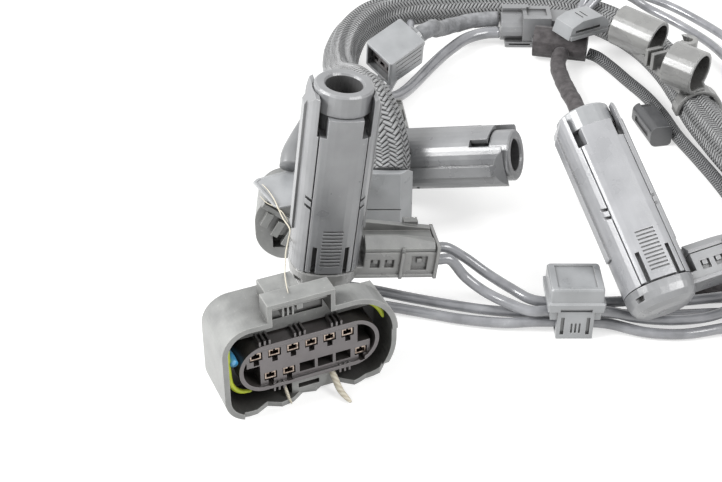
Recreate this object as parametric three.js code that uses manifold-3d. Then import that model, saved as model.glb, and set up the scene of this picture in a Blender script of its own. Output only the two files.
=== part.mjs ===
// Wiring harness for a vehicle: three long round plugs with cable arms, a broken oval connector,
// a rear connector, small housings and clips, two braided sleeves and the wires between them.
// Millimetres, +Z up. The harness lies on the plane Z = 0 and is seen from the front along +Y.
import * as THREE from 'three';
import { mergeVertices } from 'three/addons/utils/BufferGeometryUtils.js';
import Module from 'manifold-3d';

const wasm = await Module();
wasm.setup();

// Shared clearances
const gap = 0.3; // between two pieces that meet
const cutPast = 1; // how far a cutter runs past the face it cuts

// Colours and finishes
const finishes = {
  blackPlastic: { color: 0x36373a, roughness: 0.48, metalness: 0 },
  greyPlastic: { color: 0x6d6f72, roughness: 0.55, metalness: 0 },
  insertPlastic: { color: 0x4c484a, roughness: 0.6, metalness: 0 },
  sealRubber: { color: 0xb9cf1c, roughness: 0.5, metalness: 0 },
  contactMetal: { color: 0xb98a55, roughness: 0.3, metalness: 1 },
  braid: { color: 0x3c3c3e, roughness: 0.75, metalness: 0 },
  wire: { color: 0x242528, roughness: 0.3, metalness: 0 },
  tape: { color: 0x2c2d30, roughness: 0.6, metalness: 0 },
};

// Long plug, along its own Z from the base cap to the mouth, front to -Y, cable arm to +X
const plugLength = 61;
const plugWidth = 18.8;
const plugDepth = 17.2;
const plugSquareness = 2.6; // exponent of the rounded outline
const capHeight = 7;
const collarDiameter = 15.4;
const collarHeight = 6;
const collarChamfer = 0.5;
const neckDiameter = 11.6;
const boreDiameter = 9.6;
const boreDepth = 27;
const windowHeight = 5.6; // see-through gap under the collar
const windowInner = 6.9; // half the width cleared beside the neck
const shoulderBelowMouth = 1.4; // the shoulders beside the collar end this far below the mouth
const shoulderSlope = 1.1; // radians, slope of the shoulder tops
const panelWidth = 12.4;
const panelBack = 3; // the panel lies in front of this depth
const tongueWidth = 9; // narrow top of the panel, and of the back wall
const ribCount = 11;
const ribPitch = 1.1;
const ribGroove = 0.45;
const ribDepth = 0.5;
const ribWidth = 5.4;
const ribStart = 3; // above the cap
const gripSlotLength = 9;
const gripSlotWidth = 1.2;
const gripSlotDepth = 2.1;
const gripSlotOffset = 4.3;
const railWidth = 3.6;
const railRise = 0.6;
const railStart = 18;
const bridgeHeight = 2.4; // bridge between the two pairs of short side slots
const bridgeMiddle = 29.5;
const sideSlotLength = 4;
const sideSlotWidth = 0.8;
const sideSlotDepth = 3;
const sideSlotSlope = 0.38; // radians
const plugContactDiameter = 7.2;
const plugContactBore = 5;
const plugContactLength = 13;

// Cable arm of a long plug
const armWidth = 9.8;
const armBottom = 4.2;
const armWallTop = 11.8;
const armWall = 1.4;
const armEnd = 31;
const armFlange = 0.9;
const armFlangeRise = 0.8;
const armFlangeAt = 20.8;
const armFootRise = 0.5;
const lidRise = 4.2;
const lidEndRise = 2; // the lid's top slopes down to this at its outer end
const lidFloor = 1.4;
const lidSlotFront = -1.2;
const wireHole = 3.8;
const armWireSide = 2;
const armWireHeights = [7.2, 8.4];
const latchWindow = 2.6;
const latchWindowAt = [13.4, 17.4];
const wideWindow = 4.4;
const wideWindowAt = 25.8;
const latchDepth = 0.9;
const latchNub = 1.4;

// Oval connector, width along its own X, mouth to -Y, standing on its floor wall
const ovalWidth = 47.6;
const ovalHeight = 29.2;
const ovalDepth = 16;
const ovalPocket = 12; // depth of the mouth
const ovalStep = { from: 7.4, top: 23.2, side: -1, back: 13.6 }; // lower rear part on the right
const ovalWall = 1.5;
const ovalRadiusLeft = 7.5;
const ovalRadiusRight = 12.6;
const rearCover = { left: -16, right: 17, bottom: 3, top: 12.2, depth: 12 };
const bridge = { left: -11.6, right: 6.4, rise: 5.2, wall: 1.2, depth: 5.6 };
const thumbTab = { left: -9.8, right: -0.8, front: 6.4, back: 12.6, rise: 4.4 };
const floorBracket = { left: -4.6, right: 7.2, back: 6.5, rise: 4.2, slotHeight: 1.5, slotInset: 1.8 };
const breakTeeth = 13;
const contactPitch = 5;
const contactsPerRow = 6;
const contactRowGap = 7.1;
const contactRowShift = 1.85;
const emptyCavities = [2, 3, 4]; // places in the lower row that hold no contact
const insertMiddle = 14; // height of the insert's middle
const insertWidth = 38.4;
const insertHeight = 14.4;
const insertRim = 1.1;
const insertFront = 1.6; // behind the mouth
const insertSink = 0.8; // the plate lies this far behind the rim
const endRecess = { depth: 6, longEnd: 16.9, shortEnd: 13.4 };
const cavityWidth = 3.5;
const cavityHeight = 2.5;
const emptyWidth = 4.2;
const emptyHeight = 2.9;
const cavityDepth = 8;
const keyRib = { width: 0.5, pitch: 1.3, rise: 1.3, length: 4 };
const sealGrip = 1.4;
const sealFront = 3;
const sealBack = 5.5;

// Wires and sleeves
const wireDiameter = 3;
const braidDiameter = 12.6;
const thinBraidDiameter = 4.2;
const branchDiameter = 6;
const sideTubeDiameter = 6;
const glossyDiameter = 4.4;
const squareLeadDiameter = 6;
const upperDiameter = 3.2;
const wrapDiameter = 15;

// Places of the assemblies
const plugPlaces = {
  a: { origin: [-11.1, -36.4, 13.2], axis: [0.115, 0, 1], side: [0.985, 0.174, 0] },
  b: { origin: [-8.8, 31.5, 8.9], axis: [0.905, -0.345, 0.25], side: [0.356, 0.934, 0] },
  c: { origin: [82.3, -50, 12], axis: [-0.33, 0.77, 0.546], side: [0.943, 0.289, 0.162] },
};
const ovalPlace = { origin: [-12.2, -72.4, 0], side: [0.915, 0.404, 0] };

// Solid modelling helpers

function solidOf(geometry, placing) {
  const bare = geometry.clone();
  bare.deleteAttribute('normal');
  bare.deleteAttribute('uv');
  if (placing) bare.applyMatrix4(placing);
  const welded = mergeVertices(bare, 1e-4);
  const vertProperties = new Float32Array(welded.attributes.position.array);
  const triVerts = new Uint32Array(welded.index.array);
  return new wasm.Manifold(new wasm.Mesh({ numProp: 3, vertProperties, triVerts }));
}

function geometryOf(solid) {
  const mesh = solid.getMesh();
  const geometry = new THREE.BufferGeometry();
  geometry.setAttribute('position', new THREE.BufferAttribute(new Float32Array(mesh.vertProperties), 3));
  geometry.setIndex(new THREE.BufferAttribute(new Uint32Array(mesh.triVerts), 1));
  geometry.computeVertexNormals();
  return geometry;
}

function placing(position, turn = [0, 0, 0]) {
  const rotation = new THREE.Quaternion().setFromEuler(new THREE.Euler(...turn));
  return new THREE.Matrix4().compose(new THREE.Vector3(...position), rotation, new THREE.Vector3(1, 1, 1));
}

function join(solids) {
  return solids.reduce((whole, next) => whole.add(next));
}

function cut(solid, cutters) {
  return cutters.reduce((rest, cutter) => rest.subtract(cutter), solid);
}

// Block between two corners, turned about its own middle
function block(from, to, turn) {
  const size = to.map((value, axis) => Math.abs(value - from[axis]));
  const middle = to.map((value, axis) => (value + from[axis]) / 2);
  return solidOf(new THREE.BoxGeometry(...size), placing(middle, turn));
}

// Round bar along Z between two heights
function bar(diameter, bottom, top, x = 0, y = 0, sides = 28) {
  const geometry = new THREE.CylinderGeometry(diameter / 2, diameter / 2, top - bottom, sides);
  return solidOf(geometry, placing([x, y, (bottom + top) / 2], [Math.PI / 2, 0, 0]));
}

// Revolved profile of [radius, height] pairs, about Z
function revolved(profile, sides) {
  const points = profile.map(([radius, height]) => new THREE.Vector2(radius, height));
  return solidOf(new THREE.LatheGeometry(points, sides), placing([0, 0, 0], [Math.PI / 2, 0, 0]));
}

// Prism of an outline in XY, rising from bottom to top
function prism(shape, bottom, top, curveSegments = 6) {
  const options = { depth: top - bottom, bevelEnabled: false, curveSegments };
  return solidOf(new THREE.ExtrudeGeometry(shape, options), placing([0, 0, bottom]));
}

// Prism of an outline drawn in XZ, running in Y from front to back
function deepPrism(shape, front, back, curveSegments = 6) {
  const options = { depth: back - front, bevelEnabled: false, curveSegments };
  return solidOf(new THREE.ExtrudeGeometry(shape, options), placing([0, back, 0], [Math.PI / 2, 0, 0]));
}

// Prism of an outline drawn in YZ, running in X
function sidePrism(shape, from, to, curveSegments = 6) {
  const standing = new THREE.Matrix4().makeBasis(
    new THREE.Vector3(0, 1, 0), new THREE.Vector3(0, 0, 1), new THREE.Vector3(1, 0, 0));
  const moved = new THREE.Matrix4().makeTranslation(from, 0, 0).multiply(standing);
  const options = { depth: to - from, bevelEnabled: false, curveSegments };
  return solidOf(new THREE.ExtrudeGeometry(shape, options), moved);
}

function polygon(points) {
  return new THREE.Shape(points.map(([x, y]) => new THREE.Vector2(x, y)));
}

// Rounded rectangle about a middle, with one radius on the left and one on the right
function roundedRect(width, height, radiusLeft, radiusRight, x = 0, y = 0) {
  const [left, right, bottom, top] = [x - width / 2, x + width / 2, y - height / 2, y + height / 2];
  const shape = new THREE.Shape();
  shape.absarc(right - radiusRight, bottom + radiusRight, radiusRight, -Math.PI / 2, 0);
  shape.absarc(right - radiusRight, top - radiusRight, radiusRight, 0, Math.PI / 2);
  shape.absarc(left + radiusLeft, top - radiusLeft, radiusLeft, Math.PI / 2, Math.PI);
  shape.absarc(left + radiusLeft, bottom + radiusLeft, radiusLeft, Math.PI, Math.PI * 1.5);
  return shape;
}

// Rounded outline of a long plug, a superellipse
function plugOutline(scale = 1, sides = 36) {
  const power = 2 / plugSquareness;
  const points = [];
  for (let step = 0; step < sides; step += 1) {
    const angle = (step / sides) * Math.PI * 2;
    const across = Math.sign(Math.cos(angle)) * Math.abs(Math.cos(angle)) ** power;
    const deep = Math.sign(Math.sin(angle)) * Math.abs(Math.sin(angle)) ** power;
    points.push([across * plugWidth / 2 * scale, deep * plugDepth / 2 * scale]);
  }
  return polygon(points);
}

// Closed skin through a stack of outlines with the same number of points
function lofted(outlines, heights) {
  const rings = outlines.map((outline) => outline.getPoints(3).slice(0, -1));
  const count = rings[0].length;
  const positions = [];
  rings.forEach((ring, level) => ring.forEach((point) => positions.push(point.x, point.y, heights[level])));
  const triangles = [];
  for (let level = 0; level + 1 < rings.length; level += 1) {
    for (let step = 0; step < count; step += 1) {
      const next = (step + 1) % count;
      const [a, b] = [level * count + step, level * count + next];
      triangles.push(a, b, b + count, a, b + count, a + count);
    }
  }
  const last = (rings.length - 1) * count;
  for (let step = 1; step + 1 < count; step += 1) {
    triangles.push(0, step + 1, step, last, last + step, last + step + 1);
  }
  const geometry = new THREE.BufferGeometry();
  geometry.setAttribute('position', new THREE.Float32BufferAttribute(positions, 3));
  geometry.setIndex(triangles);
  return solidOf(geometry);
}

// Round tube along a smooth route
function tube(points, diameter, sides = 8) {
  const route = new THREE.CatmullRomCurve3(points.map((point) => new THREE.Vector3(...point)), false, 'centripetal');
  const steps = Math.ceil(route.getLength() / (diameter > 10 ? diameter : 2.2 * diameter));
  const section = new THREE.Shape();
  for (let side = 0; side < sides; side += 1) {
    const angle = (side / sides) * Math.PI * 2;
    const point = [Math.cos(angle) * diameter / 2, Math.sin(angle) * diameter / 2];
    if (side === 0) section.moveTo(...point);
    else section.lineTo(...point);
  }
  section.closePath();
  return solidOf(new THREE.ExtrudeGeometry(section, { steps, extrudePath: route, bevelEnabled: false }));
}

// The harness and its named pieces

const harness = new THREE.Group();
const materials = Object.fromEntries(
  Object.entries(finishes).map(([name, values]) => [name, new THREE.MeshStandardMaterial({ ...values, name })]));

function addPiece(parent, name, finish, solid) {
  const mesh = new THREE.Mesh(geometryOf(solid), materials[finish]);
  mesh.name = name;
  parent.add(mesh);
}

// Group whose Z runs along axis and whose X points as near to side as it can
function frameAt({ origin, axis = [0, 0, 1], side }) {
  const up = new THREE.Vector3(...axis).normalize();
  const forward = new THREE.Vector3().crossVectors(up, new THREE.Vector3(...side)).normalize();
  const right = new THREE.Vector3().crossVectors(forward, up);
  const group = new THREE.Group();
  group.quaternion.setFromRotationMatrix(new THREE.Matrix4().makeBasis(right, forward, up));
  group.position.set(...origin);
  harness.add(group);
  return group;
}

// Long plug pieces

const collarBottom = plugLength - collarHeight;
const shellBottom = capHeight + gap;
const windowBottom = collarBottom - windowHeight;
const shoulderInner = collarDiameter / 2 + gap;
const shoulderTop = plugLength - shoulderBelowMouth;
const shellBore = neckDiameter + 2 * gap;
const armStart = plugWidth / 2 + railRise + gap;

function plugShell() {
  const halfWidth = plugWidth / 2;
  const railInner = halfWidth - 1.5;
  const seat = panelWidth / 2 + gap;
  const tongue = tongueWidth / 2;
  const rails = [-1, 1].map((side) => block(
    [side * railInner, -railWidth / 2, railStart], [side * (halfWidth + railRise), railWidth / 2, shoulderTop]));
  const cutters = [
    bar(shellBore, 0, windowBottom + cutPast),
    bar(2 * shoulderInner, windowBottom, plugLength),
    block([-seat, -plugDepth, 0], [seat, gap - panelBack, plugLength]),
    block([-windowInner, -plugDepth, windowBottom], [windowInner, 0, plugLength]),
    block([-windowInner, 0, windowBottom], [-tongue, plugDepth, plugLength]),
    block([tongue, 0, windowBottom], [windowInner, plugDepth, plugLength]),
    block([-tongue - cutPast, 0, collarBottom - gap], [tongue + cutPast, plugDepth, plugLength]),
  ];
  for (const side of [-1, 1]) {
    const chamfer = [side * (halfWidth + railRise + 1.6), 0, shoulderTop];
    const reach = [3.2, plugDepth, 9];
    cutters.push(block(chamfer.map((value, axis) => value - reach[axis]),
      chamfer.map((value, axis) => value + reach[axis]), [0, side * (shoulderSlope - Math.PI / 2), 0]));
    for (const facing of [-1, 1]) {
      for (const level of [-1, 1]) {
        const middle = [side * (seat + sideSlotLength / 2 - 0.6), facing * plugDepth / 2,
          bridgeMiddle + level * bridgeHeight / 2];
        const half = [sideSlotLength / 2, sideSlotDepth, sideSlotWidth / 2];
        cutters.push(block(middle.map((value, axis) => value - half[axis]),
          middle.map((value, axis) => value + half[axis]), [0, -side * sideSlotSlope, 0]));
      }
    }
  }
  return cut(join([prism(plugOutline(), shellBottom, shoulderTop), ...rails]), cutters);
}

// Inner sleeve: a neck that widens to the collar, with the bore down from the mouth
function plugSleeve() {
  const [collar, neck, bore] = [collarDiameter / 2, neckDiameter / 2, boreDiameter / 2];
  return revolved([
    [0, shellBottom], [neck, shellBottom], [neck, collarBottom], [collar, collarBottom],
    [collar, plugLength - collarChamfer], [collar - collarChamfer, plugLength],
    [bore + collarChamfer, plugLength], [bore, plugLength - collarChamfer],
    [bore, plugLength - boreDepth], [0, plugLength - boreDepth],
  ], 28);
}

function plugPanel() {
  const front = -plugDepth / 2;
  const skin = prism(plugOutline(), capHeight + 2 * gap, collarBottom - gap);
  const wide = block([-panelWidth / 2, -plugDepth, 0], [panelWidth / 2, -panelBack, windowBottom]);
  const narrow = block([-tongueWidth / 2, -plugDepth, 0], [tongueWidth / 2, -panelBack, plugLength]);
  const cutters = [bar(shellBore, 0, plugLength)];
  for (let rib = 0; rib < ribCount; rib += 1) {
    const height = capHeight + ribStart + rib * ribPitch;
    cutters.push(block([-ribWidth / 2, front - cutPast, height],
      [ribWidth / 2, front + ribDepth, height + ribGroove]));
  }
  for (const side of [-1, 1]) {
    const middle = side * gripSlotOffset;
    cutters.push(block([middle - gripSlotWidth / 2, -plugDepth, 0],
      [middle + gripSlotWidth / 2, front + gripSlotDepth, capHeight + gripSlotLength]));
  }
  return cut(skin.intersect(wide.add(narrow)), cutters);
}

function plugContact() {
  const bottom = plugLength - boreDepth + gap;
  const [outer, inner] = [plugContactDiameter / 2, plugContactBore / 2];
  return revolved([[0, bottom], [outer, bottom], [outer, bottom + plugContactLength],
    [inner, bottom + plugContactLength], [inner, bottom + 2], [0, bottom + 2]], 16);
}

// Base: the rounded cap and, in one moulding with it, the trough of the cable arm
function plugBase() {
  const levels = [[0, 0.42], [0.5, 0.68], [1.5, 0.86], [3.1, 0.96], [5, 1], [capHeight, 1]];
  const half = armWidth / 2;
  const wide = half + armFlangeRise;
  const foot = half + armFootRise;
  const channel = half - armWall;
  const lowest = armBottom - armFlangeRise;
  const solids = [
    lofted(levels.map(([, scale]) => plugOutline(scale)), levels.map(([height]) => height)),
    block([plugWidth / 4, -half, armBottom], [armEnd, half, capHeight]),
    block([armStart, -half, armBottom], [armEnd, half, armWallTop]),
    block([plugWidth / 4, -foot, armBottom - armFootRise], [armEnd, foot, armBottom + armFootRise]),
    block([armFlangeAt - armFlange / 2, -wide, lowest], [armFlangeAt + armFlange / 2, wide, armWallTop]),
    block([armEnd - armFlange, -wide, lowest], [armEnd, wide, armWallTop + lidEndRise]),
  ];
  const cutters = [
    block([armStart + armWall, -channel, armBottom + armWall],
      [armEnd - 2 * armFlange, channel, armWallTop + cutPast]),
    block([-plugWidth / 2, -plugDepth / 2 + 1.6, 3.4], [-plugWidth / 2 + 2.6, -plugDepth / 2 + 4.2, 4.8]),
  ];
  armWireHeights.forEach((height, index) => {
    const hole = new THREE.CylinderGeometry(wireHole / 2, wireHole / 2, 4 * armFlange, 12);
    const side = index === 0 ? -armWireSide : armWireSide;
    cutters.push(solidOf(hole, placing([armEnd - armFlange, side, height], [0, 0, Math.PI / 2])));
  });
  const windowMiddle = (armBottom + armWallTop) / 2;
  for (const facing of [-1, 1]) {
    const [inner, outer] = [facing * (half - latchDepth), facing * (half + cutPast)];
    for (const at of latchWindowAt) {
      cutters.push(block([at - latchWindow / 2, inner, windowMiddle - latchWindow / 2],
        [at + latchWindow / 2, outer, windowMiddle + latchWindow / 2]));
    }
    cutters.push(block([wideWindowAt - wideWindow / 2, inner, armBottom + 1.6],
      [wideWindowAt + wideWindow / 2, outer, armWallTop - 1.4]));
  }
  const nubs = [];
  for (const facing of [-1, 1]) {
    for (const at of [...latchWindowAt, wideWindowAt]) {
      nubs.push(block([at - latchNub / 2, facing * (half - latchDepth - 0.4), windowMiddle],
        [at + latchNub / 2, facing * (half - 0.2), windowMiddle + latchWindow / 2 + 0.2]));
    }
  }
  return join([cut(join(solids), cutters), ...nubs]);
}

// Lid of the cable arm: a sloping front, an open slot along the top and an upright back wall
function armLid() {
  const half = armWidth / 2;
  const bottom = armWallTop + gap;
  const end = armEnd - armFlange - gap;
  const profile = polygon([
    [-half, bottom], [half, bottom], [half, bottom + lidRise], [half - 1.4, bottom + lidRise],
    [half - 1.8, bottom + lidFloor], [lidSlotFront, bottom + lidFloor], [lidSlotFront, bottom + lidRise - 1],
    [lidSlotFront - 0.6, bottom + lidRise - 1], [-half, bottom + 0.9]]);
  const slope = Math.atan2(lidRise - lidEndRise, end - armStart);
  const sloping = block([armStart - 5, -plugWidth, bottom + lidRise], [end + 5, plugWidth, bottom + lidRise + 8]);
  const pivot = new THREE.Matrix4().makeTranslation(armStart, 0, bottom + lidRise)
    .multiply(new THREE.Matrix4().makeRotationY(slope))
    .multiply(new THREE.Matrix4().makeTranslation(-armStart, 0, -bottom - lidRise));
  const body = cut(sidePrism(profile, armStart, end), [sloping.transform(pivot.toArray())]);
  const rib = block([armFlangeAt - armFlange / 2, -half - 0.5, bottom],
    [armFlangeAt + armFlange / 2, half, bottom + 1.2]);
  const tab = block([armFlangeAt + 1.6, half - 0.6, bottom + 0.6],
    [armFlangeAt + 5.6, half + 1.6, bottom + lidRise - 0.6]);
  const grooves = [0, 1, 2].map((step) => {
    const at = armFlangeAt + 2.3 + step * 1.2;
    return block([at, half + 1.1, bottom], [at + 0.5, half + 3, bottom + lidRise]);
  });
  return join([body, rib, cut(tab, grooves)]);
}

const plugGroups = {};

function addPlug(letter) {
  const group = frameAt(plugPlaces[letter]);
  group.updateMatrix();
  plugGroups[letter] = group;
  addPiece(group, `plug_${letter}_shell`, 'blackPlastic', plugShell());
  addPiece(group, `plug_${letter}_sleeve`, 'blackPlastic', plugSleeve());
  addPiece(group, `plug_${letter}_panel`, 'blackPlastic', plugPanel());
  addPiece(group, `plug_${letter}_base`, 'blackPlastic', plugBase());
  addPiece(group, `plug_${letter}_arm_lid`, 'blackPlastic', armLid());
  addPiece(group, `plug_${letter}_contact`, 'contactMetal', plugContact());
}

// Oval connector pieces

const ovalMiddle = ovalHeight / 2;

function ovalOutline(inset) {
  return roundedRect(ovalWidth - 2 * inset, ovalHeight - 2 * inset,
    ovalRadiusLeft - inset, ovalRadiusRight - inset, 0, ovalMiddle);
}

// Ragged cutter along the lower and right rim, where the shroud has broken away
function brokenEdge() {
  const points = [[ovalWidth, -4]];
  for (let tooth = 0; tooth <= breakTeeth; tooth += 1) {
    const share = tooth / breakTeeth;
    const x = ovalWidth / 2 + 2 - share * (ovalWidth * 0.93);
    const bite = share > 0.32 && share < 0.62 ? 4.4 : 1.7;
    points.push([x, bite + 0.9 * Math.sin(tooth * 2.4) + 0.5 * Math.cos(tooth * 5.1)]);
  }
  points.push([-ovalWidth / 2 + 3, -4]);
  const low = prism(polygon(points.reverse()), -cutPast, ovalWall + 4);
  const side = block([ovalWidth / 2 - 9, -4, 0], [ovalWidth, 1.6, ovalMiddle + 2], [0, 0, 0.12]);
  return join([low, side]);
}

function ovalShroud() {
  const { left, right, rise, wall, depth } = bridge;
  const bracket = floorBracket;
  const top = ovalHeight;
  const solids = [
    deepPrism(ovalOutline(0), 0, ovalDepth),
    block([left, 0, top - 2], [right, depth, top + rise]),
    block([rearCover.left, ovalPocket + 1, rearCover.bottom],
      [rearCover.right, ovalDepth + rearCover.depth, rearCover.top]),
    block([thumbTab.left, thumbTab.front, top - 1], [thumbTab.right, thumbTab.back, top + thumbTab.rise]),
  ];
  const cutters = [
    deepPrism(ovalOutline(ovalWall), -cutPast, ovalStep.from - ovalWall),
    deepPrism(ovalOutline(ovalWall), -cutPast, ovalPocket).intersect(
      block([-ovalWidth, -2, -1], [ovalWidth, ovalDepth, ovalStep.top - ovalWall])),
    block([left + wall, -cutPast, top - 4], [right - wall, depth + cutPast, top + rise - wall])
      .subtract(block([left, depth - 0.01, top - 1], [right, depth + 3, top + rise])),
    block([ovalStep.side, ovalStep.from, ovalStep.top], [ovalWidth, ovalDepth + 1, top + 1]),
    block([rearCover.right - 2, ovalStep.back, -1], [ovalWidth, ovalDepth + 1, top]),
    block([ovalStep.side, ovalStep.back, rearCover.top], [ovalWidth, ovalDepth + 1, top]),
    brokenEdge(),
  ];
  const keeper = [
    block([bracket.left, 3.5, ovalWall - 0.5], [bracket.right, bracket.back + 2, ovalWall + bracket.rise]),
  ];
  const slot = block([bracket.left + bracket.slotInset, 0, ovalWall + 1.2],
    [bracket.right - bracket.slotInset - 2.4, bracket.back - 1.5, ovalWall + 1.2 + bracket.slotHeight]);
  return join([cut(join(solids), cutters), cut(join(keeper), [slot])]);
}

function contactPlaces() {
  const places = [];
  [1, -1].forEach((row) => {
    for (let index = 0; index < contactsPerRow; index += 1) {
      const x = (index - (contactsPerRow - 1) / 2) * contactPitch - row * contactRowShift;
      places.push({ x, z: insertMiddle + row * contactRowGap / 2, empty: row < 0 && emptyCavities.includes(index) });
    }
  });
  return places;
}

function stadium(width, height) {
  return roundedRect(width, height, height / 2 - 0.01, height / 2 - 0.01, 0, insertMiddle);
}

function ovalInsert() {
  const back = ovalPocket - gap;
  const inner = [insertWidth - 2 * insertRim, insertHeight - 2 * insertRim];
  const plateFront = insertFront + insertSink;
  const half = insertWidth / 2;
  const well = deepPrism(stadium(...inner), 0, plateFront + endRecess.depth, 8);
  const deepEnds = join([-1, 1].flatMap((end) => [
    block([end * half, 0, insertMiddle - end * 0.5], [end * endRecess.shortEnd, plateFront + endRecess.depth,
      insertMiddle + end * half]),
    block([end * half, 0, 0], [end * endRecess.longEnd, plateFront + endRecess.depth, ovalHeight]),
  ]));
  const cutters = [deepPrism(stadium(...inner), 0, plateFront, 8), well.intersect(deepEnds)];
  for (const { x, z, empty } of contactPlaces()) {
    const [wide, high] = empty ? [emptyWidth / 2, emptyHeight / 2] : [cavityWidth / 2, cavityHeight / 2];
    cutters.push(block([x - wide, 0, z - high], [x + wide, plateFront + cavityDepth, z + high]));
    if (!empty) cutters.push(block([x - 0.7, 0, z - high - 1.5], [x + 0.8, plateFront + 2, z - high + 0.1]));
  }
  const ribs = [];
  const addRibs = (middle, count, side) => {
    for (let index = 0; index < count; index += 1) {
      const x = middle + (index - (count - 1) / 2) * keyRib.pitch;
      const foot = insertMiddle + side * (insertHeight / 2 - 1.4);
      ribs.push(block([x - keyRib.width / 2, insertFront + 0.2, foot],
        [x + keyRib.width / 2, insertFront + keyRib.length, foot + side * (keyRib.rise + 1.4)]));
    }
  };
  [-12, -2.6, 7.4].forEach((middle) => addRibs(middle, 3, 1));
  [[-8.6, 3], [9.6, 3]].forEach(([middle, count]) => addRibs(middle, count, -1));
  return join([cut(deepPrism(stadium(insertWidth, insertHeight), insertFront, back, 8), cutters), ...ribs]);
}

// Female contact: a short spring box, open at the front
function ovalContact(x, z) {
  const [wide, high] = [cavityWidth / 2 - gap, cavityHeight / 2 - gap];
  const front = insertFront + insertSink + 0.3;
  const back = insertFront + insertSink + cavityDepth - gap;
  const skin = 0.35;
  return cut(block([x - wide, front, z - high], [x + wide, back, z + high]), [
    block([x - wide + skin, 0, z - high + skin], [x + wide - skin, front + 4.5, z + high - skin]),
    block([x - 0.3, 0, z], [x + 0.3, front + 3, z + high + 1]),
  ]);
}

// Radial seal, left only along the left end, over the top and down the right shoulder
function ovalSeal() {
  const outer = deepPrism(ovalOutline(ovalWall + gap), sealFront, sealBack);
  const inner = deepPrism(ovalOutline(ovalWall + gap + sealGrip), sealFront - 1, sealBack + 1);
  const insertRoom = deepPrism(stadium(insertWidth + 2 * gap, insertHeight + 2 * gap), sealFront - 1, sealBack + 1);
  const torn = [
    block([-ovalWidth, 0, -1], [0, ovalDepth, ovalMiddle - 3.5]),
    block([-1, 0, -1], [ovalWidth, ovalDepth, ovalMiddle + 4.5]),
  ];
  return cut(outer, [inner, insertRoom, ...torn]);
}

function ovalSlide() {
  const { left, right, rise, wall, depth } = bridge;
  const [from, to] = [left + wall + gap, right - wall - gap];
  const top = ovalHeight + rise - wall - gap;
  const plate = block([from, 1.6, top - 1.5], [to, depth - gap, top]);
  const teeth = [0, 1, 2].map((index) => block(
    [from + 3 + index * 1.3, 1.8, top - 4.2], [from + 3.5 + index * 1.3, 5, top - 1]));
  const lug = block([from + 6.8, 1.6, top - 3], [from + 8.4, 4, top - 1]);
  return join([plate, ...teeth, lug]);
}

function addOvalConnector() {
  const group = frameAt(ovalPlace);
  addPiece(group, 'oval_shroud', 'greyPlastic', ovalShroud());
  addPiece(group, 'oval_insert', 'insertPlastic', ovalInsert());
  addPiece(group, 'oval_seal', 'sealRubber', ovalSeal());
  addPiece(group, 'oval_lock_slide', 'greyPlastic', ovalSlide());
  contactPlaces().filter(({ empty }) => !empty).forEach(({ x, z }, index) => {
    addPiece(group, `oval_contact_${index + 1}`, 'contactMetal', ovalContact(x, z));
  });
}

// Rear connector pieces

const rear = { left: -31, right: 1, front: -9, back: 7, top: 22, radius: 9 };
const rearBlock = { left: rear.right + gap, right: 15.4, front: 1.5, back: 11.2, top: 23, chamfer: 3.6,
  seat: [6.8, 20] };

function rearHousing() {
  const width = rear.right - rear.left;
  const middle = (rear.right + rear.left) / 2;
  const body = deepPrism(roundedRect(width, rear.top, rear.radius, 2, middle, rear.top / 2), rear.front, rear.back);
  const latchRibs = [0, 1, 2].map((index) => block(
    [rear.left + 2.6 + index * 3, rear.front - 1.4, 12 - index * 3.4],
    [rear.left + 4.8 + index * 3, rear.front + 1, 17 - index * 3], [0, 0.5, 0]));
  const strap = block([rear.left + 1.5, rear.front - 1, 15], [rear.left + 14, rear.front + 1, 16.6], [0, 0.62, 0]);
  const cutters = [
    block([rear.left + 5, rear.front - cutPast, 4], [rear.left + 9.5, rear.front + 4, 8.5]),
    block([rear.left + 10.5, rear.front - cutPast, 3], [rear.right - 8, rear.front + 3, 9]),
    block([rear.left - 1, rear.front + 3, 8.5], [rear.left + 3, rear.front + 8, 13.5]),
  ];
  return join([cut(body, cutters), ...latchRibs, strap]);
}

function rearRightBlock() {
  const { left, right, front, back, top, chamfer } = rearBlock;
  const outline = polygon([
    [left, front], [right - chamfer, front], [right, front + chamfer], [right, back], [left, back]]);
  const seam = block([left - 1, front - 1, 10.2], [right + 1, front + 0.35, 10.6]);
  const sideSeam = block([right - 0.35, front, 10.2], [right + 1, back + 1, 10.6]);
  const [seatDepth, seatHeight] = rearBlock.seat; // middle of the sloping face the sleeve leaves from
  const slope = block([-20, -20, 0], [20, 20, 20]).rotate([-45, 0, 0])
    .translate([(left + right) / 2, seatDepth, seatHeight]);
  return cut(prism(outline, 0.1, top), [seam, sideSeam, slope]);
}

function addRearConnector() {
  addPiece(harness, 'rear_housing', 'greyPlastic', rearHousing());
  addPiece(harness, 'rear_block', 'greyPlastic', rearRightBlock());
}

// Small square connector, lying with its open face to the front left

const squarePlace = { origin: [11.9, 98, 9.3], axis: [0.017, -0.446, 0.898], side: [0.755, 0.594, 0.281] };
const squareSize = { length: 16, width: 13.2, height: 12.4, wall: 1.2, mouthDepth: 7 };

function squareHousing() {
  const { length, width, height, wall, mouthDepth } = squareSize;
  const [x, y] = [length / 2, width / 2];
  const body = prism(roundedRect(length, width, 0.8, 0.8), 0, height, 2);
  const layers = [0.24, 0.45, 0.66, 0.84].map((share) => block(
    [-x + 2.5, -y - 1, share * height], [x - 1.5, -y + 0.6, share * height + 0.5]));
  const boot = bar(8.4, 0, 3, 0, 0, 14).transform(placing([x - 0.5, 0, height / 2], [0, Math.PI / 2, 0]).toArray());
  return join([cut(body, [
    block([-x - cutPast, -y + wall, wall], [-x + mouthDepth, y - wall, height - wall]), ...layers,
  ]), boot]);
}

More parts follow.
